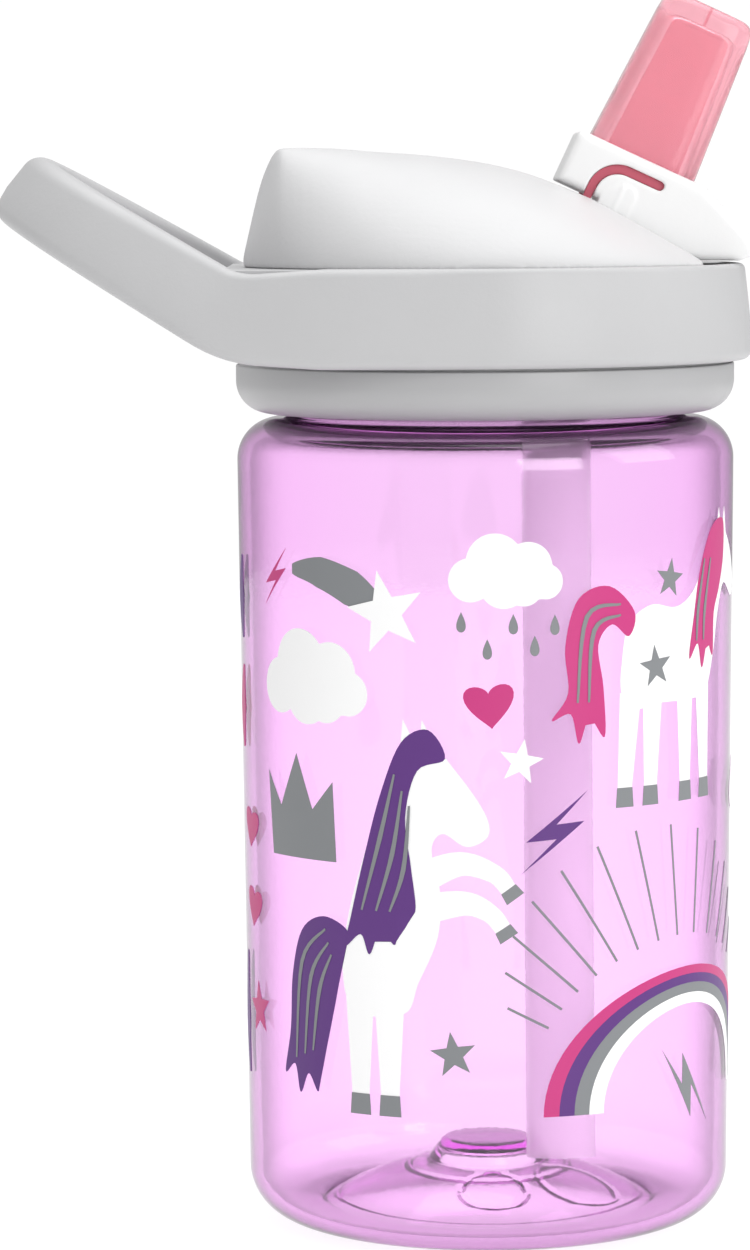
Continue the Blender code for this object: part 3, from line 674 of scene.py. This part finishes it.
def bentUp(x, y, z):
    # everything beyond the bend line tilts up with the loop
    run = -x - (band["bendAt"] - band["bendLength"] / 2)
    if run <= 0:
        return onAxis(x, y, z)
    start = band["bendAt"] - band["bendLength"] / 2
    inBend = min(run, band["bendLength"])
    angle = band["tilt"] * inBend / band["bendLength"]
    bendRadius = band["bendLength"] / band["tilt"]
    cx = -start - bendRadius * math.sin(angle) - (run - inBend) * math.cos(angle)
    cz = bandMid + bendRadius * (1 - math.cos(angle)) + (run - inBend) * math.sin(angle)
    return onAxis(cx + (z - bandMid) * math.sin(angle), y, cz + (z - bandMid) * math.cos(angle))


def makeBand():
    steps = 320
    rings = []
    for i in range(steps):
        point, normal = bandContour(math.tau * (i + 0.5) / steps)
        room = point.length - band["boreRadius"]
        thick = band["thick"] if point.x < 0 and room > band["thick"] else room
        along = min(1.0, max(0.0, (-point.x - band["bendAt"] + 12) / 16))
        height = band["top"] - band["base"] + (band["loopHeight"] - band["top"] + band["base"]) * along
        beyond = max(0.0, -point.x - band["bendAt"]) / (band["reach"] - band["bendAt"])
        height += (band["endHeight"] - band["loopHeight"]) * beyond
        top, low = bandMid + height / 2, bandMid - height / 2
        edge = min(0.9, 0.2 * thick)
        draft = band["draft"]
        soft = 1.4 + 1.8 * beyond
        edge *= 1 + 0.9 * beyond
        section = rounded([(0.0, low, soft), (0.0, low + 4.6), (draft, top, soft), (thick, top, edge),
                           (thick, low, edge)], 8, True)
        rings.append([bentUp(*(point - normal * depth), z) for depth, z in section])
    piece = lofted("carryBand", rings, finish["capGrey"], closed=True)
    plateTop = band["top"] - band["plateStep"]
    outline = []
    for i in range(steps):
        point, normal = bandContour(math.tau * (i + 0.5) / steps)
        inset = point - normal * band["plateInset"]
        if inset.x > 1.0 - band["deckReach"]:
            outline.append(inset)
    outline.sort(key=lambda p: math.atan2(p.y, p.x))
    first, last = outline[0], outline[-1]
    outline = [Vector((-band["deckReach"], first.y))] + outline + [Vector((-band["deckReach"], last.y))]
    plate = lofted("deckPlate", [[onAxis(p.x, p.y, z) for p in outline]
                                 for z in (plateTop - band["plateThick"], plateTop)])
    combine(plate,
            tube("plateOpening", [onAxis(0, 0, z) for z in (plateTop - 5, plateTop + 5)], band["opening"],
                 128))
    combine(piece, plate, "UNION")
    shadeSmooth(piece, 38)
    return piece


carryBand = makeBand()
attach(carryBand, "cap")
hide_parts("carry_band")
print("carry band made")

# valve guard
guard = {
    "base": 139.5, "footRadius": 35.3, "shell": 2.0, "power": 1.5, "ridgeHalf": 11.0, "channelHalf": 10.2,
    "channelEnd": -20.5, "cheekWall": 2.0, "socketRadius": 2.9, "voxel": 0.36, "smoothing": 5,
    "ridgeStretch": 35.3 / 35.9, "ridgeLift": 0.2,
    "ridge": [(-35.6, 1.3), (-34.4, 6.1), (-33.2, 10.7), (-32.1, 13.8), (-30.7, 16.3), (-29.0, 16.9),
              (-22.0, 16.8),
              (-15.9, 16.3), (-8.0, 15.7), (-0.7, 14.7), (5.0, 13.4), (9.9, 11.7), (15.6, 9.3), (20.2, 6.9),
              (26.0, 3.7), (31.5, 0.5)],
}


def domeRings(inset, base):
    rings = []
    stretch = guard["ridgeStretch"]
    first, last = guard["ridge"][0][0] * stretch + inset, guard["ridge"][-1][0] * stretch - 1.5 * inset
    for x, rise in smoothCurve(guard["ridge"], 5):
        x = min(max(x * stretch, first), last)
        half = math.sqrt(max((guard["footRadius"] - inset) ** 2 - x ** 2, 9.0))
        flat = min(guard["ridgeHalf"], 0.55 * half)
        height = max(rise + guard["ridgeLift"] - inset, 0.2)
        side = []
        for k in range(25):
            angle = math.radians(90) * k / 24
            side.append((flat + (half - flat) * math.cos(angle) ** (2 / guard["power"]),
                         guard["base"] + height * math.sin(angle) ** (2 / guard["power"])))
        line = [(-half, base)] + [(-y, z) for y, z in side] + [(y, z) for y,
                                                               z in reversed(side)] + [(half, base)]
        if not rings or abs(rings[-1][0].x - onAxis(x, 0, 0).x) > 0.05 * mm:
            rings.append([onAxis(x, y, z) for y, z in line])
    return rings


def makeGuard():
    piece = lofted("valveGuard", domeRings(0.0, guard["base"]))
    outerHalf = guard["channelHalf"] + guard["cheekWall"]
    cheekEnd = math.sqrt((band["opening"] - 0.5) ** 2 - outerHalf ** 2)
    backWall = guard["channelEnd"] - guard["cheekWall"]
    combine(piece, block("cheeks", (backWall, -outerHalf, cap["deckTop"] + 0.3),
                         (cheekEnd, outerHalf, guard["base"] + 0.4)), "UNION")
    pocket = lofted("pockets", domeRings(guard["shell"], guard["base"] - 1.0))
    combine(pocket, block("pocketLimit", (backWall, -outerHalf, cap["deckTop"] - 1), (60, outerHalf, 180)))
    combine(piece, pocket)
    combine(piece, block("channel", (guard["channelEnd"], -guard["channelHalf"], cap["deckTop"] - 2),
                         (60, guard["channelHalf"], 180)))
    combine(piece, rodAlongY("sockets", guard["socketRadius"], outerHalf + 1))
    weathered(piece, guard["voxel"], guard["smoothing"])
    piece.data.materials.clear()
    piece.data.materials.append(finish["guardGreyLit"])
    return piece


valveGuard = makeGuard()
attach(valveGuard, "cap")
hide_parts("valve_guard")
print("valve guard made")

# flip stem and bite valve
stem = {
    "half": 9.8, "collarTop": 12.0, "trunnion": 2.6, "socketFloor": 5.0,
    "socketHalfB": 8.55, "socketHalfY": 8.5, "slotWidth": 1.4, "flankRound": 1.1, "square": 4.5,
        "voxel": 0.22, "smoothing": 4,
    "valveLength": 23.85, "tipHalfB": 6.9, "tipHalfY": 7.0, "valveWall": 2.2, "valveGap": 0.3,
}


def ovalRing(halfB, halfY, a, steps=96):
    ring = []
    power = stem["square"]
    for i in range(steps):
        c, s = math.cos(math.tau * i / steps), math.sin(math.tau * i / steps)
        ring.append(onPivot(a, math.copysign(halfB * abs(c) ** (2 / power), c),
                            math.copysign(halfY * abs(s) ** (2 / power), s)))
    return ring


def slotOutline(gap=0.0):
    # a leg beside the pivot, a quarter turn and a leg along the top
    middle, centreB, centreA, half = 3.95, -1.3, 5.4, stem["slotWidth"] / 2 - gap
    outer, inner = [], []
    for degrees in range(0, 91, 6):
        angle = math.radians(180 - degrees)
        for radius, row in ((middle + half, outer), (middle - half, inner)):
            row.append((centreA + radius * math.sin(angle), centreB + radius * math.cos(angle)))
    foot, end = -1.0, 3.6
    tip = [(centreA + middle + half * math.sin(t), end + half * math.cos(t)) for t in spaced(1.4, -1.4, 8)]
    return [(foot, outer[0][1])] + outer + tip + inner[::-1] + [(foot, inner[0][1])]


def makeStem():
    corners = [(4.0, -10.2), (12.0, -10.2, 0.8), (12.0, 9.6, 1.0), (8.2, 18.8, 2.2), (6.6, 20.8, 1.2),
               (4.5, 18.6, 2.0), (-1.1, 6.3, 1.0), (-3.5, 2.5), (-3.5, -2.5), (4.0, -2.5)]
    soft = stem["flankRound"]
    flank = [(soft * (1 - math.sin(t)), stem["half"] - soft * (1 - math.cos(t))) for t in spaced(0,
                                                                                                 math.pi / 2,
                                                                                                 5)]
    sections = [(inset, -y) for inset, y in flank] + [(inset, y) for inset, y in reversed(flank)]
    piece = lofted("flipStem", [[onPivot(a, b, y) for a, b in rounded(insetCorners(corners, inset), 5)]
                                for inset, y in sections])
    combine(piece, rodAlongY("drum", cap["drumRadius"], stem["half"] - 0.1), "UNION")
    combine(piece, rodAlongY("trunnions", stem["trunnion"], guard["channelHalf"] + guard["cheekWall"] - 0.3),
            "UNION")
    for low, high in ((-stem["half"] - 1, 0.2 - stem["socketHalfY"]),
                      (stem["socketHalfY"] - 0.2, stem["half"] + 1)):
        combine(piece, extruded("slot", slotOutline(), low, high))
    combine(piece, lofted("valveSocket", [ovalRing(stem["socketHalfB"], stem["socketHalfY"], a)
                                          for a in (stem["socketFloor"], stem["collarTop"] + 2)]))
    bore = [pivotPoint + Vector((0, 0, z)) * mm for z in (-6, -1.2)] + [onPivot(stem["socketFloor"] + 1, 0,
                                                                                0)]
    combine(piece, tube("stemBore", bore, cap["portBore"], 32))
    boss = rounded([(0.6, -3.6, 1.0), (4.6, -3.6, 2.2), (7.4, -1.6, 2.4), (7.4, 1.2, 1.6), (0.6, 1.2, 1.0)],
                   8, True)
    for side in (-1, 1):
        combine(piece, extruded("cheekBoss", boss, side * (stem["half"] - 1), side * (stem["half"] + 0.15)),
                "UNION")
        rib = [(0.9, -1.3), (7.2, -1.3), (7.2, -0.9), (0.9, -0.9)]
        combine(piece, extruded("bossRib", rib, side * (stem["half"] - 1), side * (stem["half"] + 0.28)),
                "UNION")
    weathered(piece, stem["voxel"], stem["smoothing"])
    piece.data.materials.clear()
    piece.data.materials.append(finish["stemWhite"])
    return piece


flipStem = makeStem()
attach(flipStem, "drink_valve")
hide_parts("flip_stem")


def makeBiteValve():
    base = stem["socketFloor"] + stem["valveGap"]
    top = stem["collarTop"] + stem["valveLength"]
    baseB, baseY = stem["socketHalfB"] - stem["valveGap"], stem["socketHalfY"] - stem["valveGap"]

    def halves(a, inset=0.0):
        share = max(0.0, (a - stem["collarTop"]) / stem["valveLength"])
        return (baseB + (stem["tipHalfB"] - baseB) * share - inset,
                baseY + (stem["tipHalfY"] - baseY) * share - inset)

    rings = [ovalRing(*halves(top, 4.5), top + 0.0), ovalRing(*halves(top, 2.6), top)]
    rings += [ovalRing(*halves(top, 1.7 * (1 - math.cos(t))), top - 1.7 * (1 - math.sin(t)))
              for t in spaced(math.pi / 2, 0, 9)]
    rings += [ovalRing(*halves(a), a) for a in spaced(top - 3, base, 24)]
    wall = stem["valveWall"]
    roof = top - 3.0
    rings += [ovalRing(*halves(a, wall), a) for a in spaced(base, roof - 1.5, 20)]
    rings += [ovalRing(*halves(roof, wall + 1.2 * (1 - math.cos(t))), roof - 1.2 * (1 - math.sin(t)))
              for t in spaced(0.2, math.pi / 2, 6)]
    rings += [ovalRing(*halves(roof, wall + 2.6), roof)]
    piece = lofted("biteValve", rings, finish["valvePink"], sharpAngle=60)
    corners = [(roof - 2, -0.2), (top + 2, -0.2), (top + 2, 0.2), (roof - 2, 0.2)]
    combine(piece, extruded("slit", corners, -3.5, 3.5))
    shadeSmooth(piece, 60)
    return piece


def makeSlotFilling(name, side):
    # the valve's silicone that fills the groove of the stem's flank, darkened as painted shade for the recess
    piece = extruded(name, slotOutline(0.1), side * 8.25, side * 8.8)
    piece.data.materials.append(finish["slotShadedPink"])
    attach(piece, "drink_valve")


biteValve = makeBiteValve()
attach(biteValve, "drink_valve")
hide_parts("bite_valve")
for name, side in (("slotFillingFront", -1), ("slotFillingBack", 1)):
    makeSlotFilling(name, side)
print("stem and bite valve made")

# print: plain shapes, as thin ink on the wall; an outline's level lifts it above those under it
inkLift = 0.03
inkThick = 0.05
layers = {"inkWhite": [], "inkGrey": [], "inkPurple": [], "inkMagenta": []}


def wallRadius(z):
    share = (z - bottle["baseRound"]) / (sideTop - bottle["baseRound"])
    return bottle["baseRadius"] + (bottle["topRadius"] - bottle["baseRadius"]) * share


def onWall(angle, z):
    # distance round the front of the wall for an angle in degrees, and the height
    return Vector((math.radians(angle) * wallRadius(z), z))


def ink(name, outline, level=0):
    layers[name].append(([Vector(point) for point in outline], level))


def moved(outline, at, size=1.0, turn=0.0):
    rotate = Matrix.Rotation(math.radians(turn), 2)
    return [Vector(at) + rotate @ (Vector(point) * size) for point in outline]


def starShape(outer, inner, points=5):
    return [((outer if i % 2 == 0 else inner) * math.sin(math.pi * i / points),
             (outer if i % 2 == 0 else inner) * math.cos(math.pi * i / points)) for i in range(points * 2)]


def heartShape():
    return [(0.062 * 8 * math.sin(t) ** 3,
             0.062 * (6.6 * math.cos(t) - 2.6 * math.cos(2 * t) - math.cos(3 * t)))
            for t in spaced(0, math.tau, 40)[:-1]]


def dropShape():
    return [(0.32 * math.sin(t) * math.sin(t / 2) ** 1.3, 0.5 * math.cos(t)) for t in spaced(0, math.tau,
                                                                                             28)[:-1]]


def puffShape(circles, centre):
    # outer line of a heap of circles, seen from a point inside them
    out = []
    for i in range(120):
        ray = Vector((math.cos(math.tau * i / 120), math.sin(math.tau * i / 120)))
        reach = 0.0
        for x, y, size in circles:
            away = Vector((x, y)) - Vector(centre)
            along = away.dot(ray)
            gap = size ** 2 - away.length_squared + along ** 2
            if gap > 0 and along + math.sqrt(gap) > reach:
                reach = along + math.sqrt(gap)
        out.append(Vector(centre) + ray * reach)
    return out


def ribbon(path, widths):
    # a brush stroke whose width changes along its path
    path = smoothCurve(path, 6)
    left, right = [], []
    for i, spot in enumerate(path):
        ahead = (path[min(i + 1, len(path) - 1)] - path[max(i - 1, 0)]).normalized()
        share = i / (len(path) - 1) * (len(widths) - 1)
        low = min(int(share), len(widths) - 2)
        half = (widths[low] + (widths[low + 1] - widths[low]) * (share - low)) / 2
        side = Vector((-ahead.y, ahead.x)) * half
        left.append(spot + side)
        right.append(spot - side)
    return left + right[::-1]


boltShape = [(0.42, 0.5), (-0.36, -0.11), (0.02, -0.08), (-0.42, -0.5), (0.38, 0.13), (0.02, 0.10)]
cloudShape = puffShape([(-0.32, -0.06, 0.2), (-0.1, 0.1, 0.26), (0.2, 0.06, 0.22), (0.36, -0.08, 0.16),
                        (-0.02, -0.1, 0.22), (0.16, -0.12, 0.18)], (0.0, 0.0))
crownShape = [(-0.42, -0.5), (-0.5, 0.3), (-0.27, -0.02), (-0.02, 0.5), (0.2, -0.02), (0.46, 0.26),
              (0.5, -0.5)]


def drawSky():
    ink("inkMagenta", moved(boltShape, onWall(-57.5, 95.9), 7.6, 6))
    ink("inkGrey", ribbon([onWall(-50.7, 97.2), onWall(-42, 97.0), onWall(-33, 95.0), onWall(-27, 92.6)],
                          [1.4, 4.4, 5.2, 3.4]))
    ink("inkWhite", moved(starShape(6.1, 2.5), onWall(-24.2, 91.7), 1, 12), 2)
    ink("inkWhite", moved(cloudShape, onWall(-45.5, 81.6), 20.0))
    ink("inkWhite", moved(cloudShape, onWall(3.2, 97.4), 15.5))
    for angle, height in ((-6.8, 90.6), (-1.0, 86.8), (4.8, 90.3), (9.6, 87.2), (14.2, 90.1)):
        ink("inkGrey", moved(dropShape(), onWall(angle, height), 2.9))
    ink("inkMagenta", moved(heartShape(), onWall(-0.6, 79.2), 7.2, 6))
    ink("inkWhite", moved(starShape(3.3, 1.35), onWall(6.4, 70.9), 1, -10))
    ink("inkPurple", moved(boltShape, onWall(14.2, 60.8), 11.5, 0))
    ink("inkGrey", moved(crownShape, onWall(-49.8, 63.4), 15.0))
    ink("inkGrey", moved(starShape(3.4, 1.4), onWall(-9.1, 29.4), 1, 8))
    ink("inkGrey", moved(starShape(2.9, 1.2), onWall(44.9, 95.7), 1, -8))
    ink("inkWhite", moved(cloudShape, onWall(90, 63.5), 12.0))
    ink("inkGrey", moved(boltShape, onWall(52.5, 22.4), 12.5, 84))
    for angle, height, size in ((-70, 58.9, 6.5), (-68.6, 47.4, 6.5)):
        ink("inkMagenta", moved(heartShape(), onWall(angle - 4, height), size, -8))
    ink("inkMagenta", moved(starShape(4.0, 1.7), onWall(-70, 32.4), 1, 5))
    ink("inkPurple", ribbon([onWall(-79, 98), onWall(-81, 92), onWall(-79, 86)], [0.8, 4.2, 0.8]))
    ink("inkMagenta", ribbon([onWall(-79, 82), onWall(-81, 76), onWall(-80, 70)], [0.8, 4.0, 0.8]))
    ink("inkPurple", ribbon([onWall(-80, 40), onWall(-82, 30), onWall(-80, 22)], [0.8, 3.6, 0.8]))


def drawRainbow():
    centre = onWall(52.4, 20.4)
    wide, tall = 25.2, 19.4
    for i, name in enumerate(("inkMagenta", "inkPurple", "inkGrey", "inkWhite")):
        outer, inner = 1 - 0.09 * i, 1 - 0.09 * (i + 1)
        line = [(outer * wide * math.cos(t), outer * (tall + 0.6 * i) * math.sin(t)) for t in spaced(math.pi,
                                                                                                     0, 40)]
        line += [(inner * wide * math.cos(t), inner * (tall + 0.6 * i + 0.6) * math.sin(t))
                 for t in spaced(0, math.pi, 40)]
        ink(name, moved(line, centre))
    for i in range(13):
        angle = math.radians(146 - 7.4 * i)
        ray = Vector((wide * math.cos(angle), tall * math.sin(angle)))
        near, far = 1.17 + 0.08 * math.sin(math.pi * i / 12), 1.45 + 0.65 * math.sin(math.pi * i / 12)
        ink("inkGrey", ribbon([centre + ray * near, centre + ray * far], [0.38, 0.38]))


def drawRearingPony():
    body = [(-12.6, 73.5), (-9.0, 73.8), (-5.0, 69.5), (-1.2, 64.0), (-0.6, 60.6), (-3.6, 59.0), (-7.0, 60.8),
            (-8.6, 58.4), (-7.4, 52.5), (-7.8, 46.0), (-10.6, 39.5), (-12.8, 35.0), (-20.6, 35.0),
            (-22.6, 41.0),
            (-21.4, 49.0), (-18.6, 58.0), (-15.6, 67.0)]
    ink("inkWhite", smoothCurve(body, 6, True))
    for x in (-19.6, -14.9):
        ink("inkWhite", [(x - 2.6, 40), (x + 2.4, 40), (x + 1.4, 23.0), (x - 1.4, 23.0)], 0.2)
        ink("inkGrey", [(x - 1.5, 23.2), (x + 1.5, 23.2), (x + 1.7, 20.2), (x - 1.7, 20.2)], 1)
    for path, hoof in (([(-10, 54.5), (-4.5, 56.6), (0.2, 55.2), (2.2, 53.0)], (3.2, 51.6)),
                       ([(-10, 50.0), (-4.0, 51.0), (-0.4, 49.6), (1.4, 47.4)], (2.3, 46.0))):
        ink("inkWhite", ribbon(path, [4.6, 3.4, 2.6, 2.3]), 0.3)
        ink("inkGrey", ribbon([path[-1], hoof], [2.5, 3.0]), 1)
    for x in (-11.8, -9.0):
        ink("inkWhite", [(x - 1.3, 72.5), (x - 0.9, 76.8), (x + 1.3, 72.6)], 0.2)
    mane = [(-9.0, 75.4), (-13.0, 73.5), (-16.2, 66.0), (-18.8, 57.0), (-21.0, 48.6), (-22.0, 44.2),
            (-19.4, 46.0),
            (-18.0, 43.2), (-16.2, 47.0), (-14.0, 44.8), (-13.4, 50.0), (-11.0, 49.6), (-11.6, 56.0),
            (-12.4, 63.0),
            (-10.6, 69.6), (-6.6, 71.4)]
    ink("inkPurple", smoothCurve(mane, 6, True), 1)
    for shift in (0.0, 2.3, 4.4):
        ink("inkGrey", ribbon([(-14.0 + 0.5 * shift, 69.0 - shift), (-16.2 + 0.8 * shift, 60.0 - shift),
                               (-19.2 + shift, 49.5)], [0.3, 0.7, 0.3]), 2)
    tail = [(-21.6, 46.2), (-26.0, 48.0), (-30.4, 45.6), (-32.6, 39.0), (-33.2, 31.0), (-34.6, 24.6),
            (-32.2, 26.0),
            (-31.0, 22.0), (-29.2, 25.0), (-27.2, 22.6), (-27.2, 29.0), (-28.0, 36.0), (-26.8, 41.4),
            (-23.0, 43.0)]
    ink("inkPurple", smoothCurve(tail, 6, True), 1)
    for shift in (0.0, 1.9, 3.6):
        ink("inkGrey", ribbon([(-25.6 + 0.3 * shift, 46.2 - shift), (-30.4 + shift, 41.0 - shift),
                               (-31.8 + shift, 27.0 + 0.4 * shift)], [0.3, 0.7, 0.3]), 2)


def drawStandingPony():
    body = [(19.2, 84.0), (20.4, 89.6), (24.4, 92.2), (29.4, 91.6), (33.4, 93.4), (37.2, 98.0), (41.0, 102.0),
            (44.6, 101.6), (49.4, 97.0), (51.2, 93.4), (48.6, 91.8), (44.0, 94.0), (41.4, 90.0), (39.6, 84.0),
            (37.0, 79.0), (32.0, 78.2), (26.0, 78.2), (21.2, 77.6), (19.2, 80.0)]
    ink("inkWhite", smoothCurve(body, 6, True))
    for x, lean in ((20.6, -0.9), (24.6, -0.3), (31.4, 0.2), (36.0, 0.6)):
        ink("inkWhite", [(x - 1.7, 80), (x + 2.0, 80), (x + 1.2 + lean, 66.4), (x - 1.2 + lean, 66.4)], 0.2)
        ink("inkGrey",
            [(x - 1.3 + lean, 66.6), (x + 1.3 + lean, 66.6), (x + 1.5 + lean, 63.8), (x - 1.5 + lean, 63.8)],
            1)
    for x in (41.6, 44.0):
        ink("inkWhite", [(x - 1.2, 100.8), (x + 0.2, 105.0), (x + 1.3, 100.4)], 0.2)
    mane = [(43.4, 103.2), (39.0, 102.4), (35.6, 97.0), (33.8, 90.0), (32.6, 84.0), (34.8, 86.0),
            (36.0, 82.4),
            (37.6, 86.0), (39.4, 84.0), (39.8, 90.0), (41.8, 93.6), (43.6, 98.0)]
    ink("inkMagenta", smoothCurve(mane, 6, True), 1)
    tail = [(21.4, 91.4), (17.2, 95.2), (12.4, 93.6), (10.4, 87.0), (10.8, 80.4), (8.4, 76.6), (11.2, 77.4),
            (12.4, 73.2), (14.0, 76.8), (16.4, 74.0), (16.2, 81.0), (15.4, 87.0), (17.6, 89.8), (20.4, 88.0)]
    ink("inkMagenta", smoothCurve(tail, 6, True), 1)
    for shift in (0.0, 1.9):
        ink("inkGrey",
            ribbon([(36.6 + shift, 98.0), (34.8 + shift, 91.0), (34.4 + shift, 86.4)], [0.3, 0.7, 0.3]), 2)
        ink("inkGrey", ribbon([(19.0, 92.6 - 0.8 * shift), (13.6 + 0.6 * shift, 91.0 - shift),
                               (12.2 + 0.9 * shift, 79.0)], [0.3, 0.7, 0.3]), 2)
    ink("inkGrey", moved(starShape(3.1, 1.25), onWall(40.4, 83.4), 1, 6), 1)


def inkMesh(name, shapes):
    whole = bmesh.new()
    for outline, level in shapes:
        shape = bmesh.new()
        shape.faces.new([shape.verts.new((x, z, 0)) for x, z in outline])
        bmesh.ops.triangulate(shape, faces=shape.faces)
        low, high = min(p.x for p in outline), max(p.x for p in outline)
        for cut in spaced(low, high, max(1, math.ceil((high - low) / 1.2)))[1:-1]:
            bmesh.ops.bisect_plane(shape, geom=shape.verts[:] + shape.edges[:] + shape.faces[:],
                                   plane_co=(cut, 0, 0), plane_no=(1, 0, 0))
        lift = inkLift + level * (inkThick + 0.02)
        for vert in shape.verts:
            radius = wallRadius(vert.co.y)
            angle = vert.co.x / radius
            vert.co = onAxis((radius + lift) * math.sin(angle), -(radius + lift) * math.cos(angle), vert.co.y)
        bmesh.ops.recalc_face_normals(shape, faces=shape.faces)
        shape.normal_update()
        middle = sum((face.calc_center_median() for face in shape.faces), Vector()) / len(shape.faces)
        outward = middle - Vector((axisX, 0, middle.z))
        if sum(face.normal.dot(outward) * face.calc_area() for face in shape.faces) < 0:
            bmesh.ops.reverse_faces(shape, faces=shape.faces)
        part = bpy.data.meshes.new("part")
        shape.to_mesh(part)
        shape.free()
        whole.from_mesh(part)
        bpy.data.meshes.remove(part)
    mesh = bpy.data.meshes.new(name)
    whole.to_mesh(mesh)
    whole.free()
    obj = bpy.data.objects.new(name, mesh)
    bpy.context.scene.collection.objects.link(obj)
    mesh.materials.append(finish[name])
    mesh.shade_smooth()
    thick = obj.modifiers.new("thickness", "SOLIDIFY")
    thick.thickness = inkThick * mm
    thick.offset = 1.0
    applied(obj)
    shadeSmooth(obj, 50)
    return obj


drawSky()
drawRainbow()
drawRearingPony()
drawStandingPony()
for inkName, shapes in layers.items():
    printed = inkMesh(inkName, shapes)
    printed.name = "print" + inkName[3:]
    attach(printed, "bottle")
print("print made")

# floor, light and camera
studio = {
    "backdrop": 1.02, "fillLeft": 0.62, "fillRight": 0.5, "floorGlow": 0.72, "floorRadius": 1.1,
          "floorDrop": 0.0004,
    "lamps": [("topLamp", (0.1, 0.2, 2.2), 2.4, 40.0), ("rightLamp", (1.3, -0.2, 0.7), 0.8, 3.5),
              ("frontLamp", (0.75, -1.3, 0.5), 0.8, 8.5)],
    "lens": 139.9, "cameraAt": (-0.00024, -0.7094, 0.1521), "aim": (-0.0003, 0.0, 0.0870), "roll": -0.36,
}


def makeFloor():
    reach = studio["floorRadius"]
    points = [(math.cos(math.tau * i / 64) * reach, math.sin(math.tau * i / 64) * reach,
               -studio["floorDrop"]) for i in range(64)]
    floor = newPiece("studioFloor", points, [tuple(range(64))])
    floor.data.materials.append(finishOf("floorPaper", (0.35, 0.35, 0.35), (0.7, 0.8), 0.01, 8.0,
                                         (500.0, 1.0, 0.3), 0.03,
                                         Emission_Color=(1, 1, 1, 1), Emission_Strength=studio["floorGlow"],
                                         Specular_IOR_Level=0.0))


def makeLamp(name, at, size, power):
    light = bpy.data.lights.new(name, "AREA")
    light.shape = "SQUARE"
    light.size = size
    light.energy = power
    lamp = bpy.data.objects.new(name, light)
    bpy.context.scene.collection.objects.link(lamp)
    lamp.location = at
    lamp.rotation_euler = (Vector((0.02, 0, 0.1)) - lamp.location).to_track_quat("-Z", "Y").to_euler()


def makeWorld():
    # a white surround for what is seen directly or through the clear wall, and softer light for the rest
    world = bpy.data.worlds.new("studio")
    world.use_nodes = True
    tree = world.node_tree
    background = tree.nodes["Background"]
    background.inputs["Color"].default_value = (1, 1, 1, 1)
    path = tree.nodes.new("ShaderNodeLightPath")
    seen = mathNode(tree, "MAXIMUM", path.outputs["Is Camera Ray"], path.outputs["Is Transmission Ray"])
    ways = tree.nodes.new("ShaderNodeTexCoord")
    sides = tree.nodes.new("ShaderNodeSeparateXYZ")
    tree.links.new(ways.outputs["Generated"], sides.inputs["Vector"])
    fill = tree.nodes.new("ShaderNodeMapRange")
    fill.inputs["From Min"].default_value = -1.0
    fill.inputs["To Min"].default_value = studio["fillLeft"]
    fill.inputs["To Max"].default_value = studio["fillRight"]
    tree.links.new(sides.outputs["X"], fill.inputs["Value"])
    level = tree.nodes.new("ShaderNodeMapRange")
    level.inputs["To Max"].default_value = studio["backdrop"]
    tree.links.new(fill.outputs["Result"], level.inputs["To Min"])
    tree.links.new(seen, level.inputs["Value"])
    tree.links.new(level.outputs["Result"], background.inputs["Strength"])
    bpy.context.scene.world = world


def makeCamera():
    lens = bpy.data.cameras.new("viewLens")
    lens.lens = studio["lens"]
    lens.sensor_fit = "VERTICAL"
    lens.sensor_height = 36.0
    lens.clip_start = 0.01
    camera = bpy.data.objects.new("viewCamera", lens)
    bpy.context.scene.collection.objects.link(camera)
    camera.location = studio["cameraAt"]
    look = (Vector(studio["aim"]) - camera.location).to_track_quat("-Z", "Y")
    camera.rotation_euler = (look.to_matrix() @ Matrix.Rotation(math.radians(studio["roll"]), 3,
                                                                "Z")).to_euler()
    bpy.context.scene.camera = camera


makeFloor()
for lampSettings in studio["lamps"]:
    makeLamp(*lampSettings)
makeWorld()
makeCamera()
bpy.context.scene.view_settings.view_transform = "Standard"
print("studio ready")
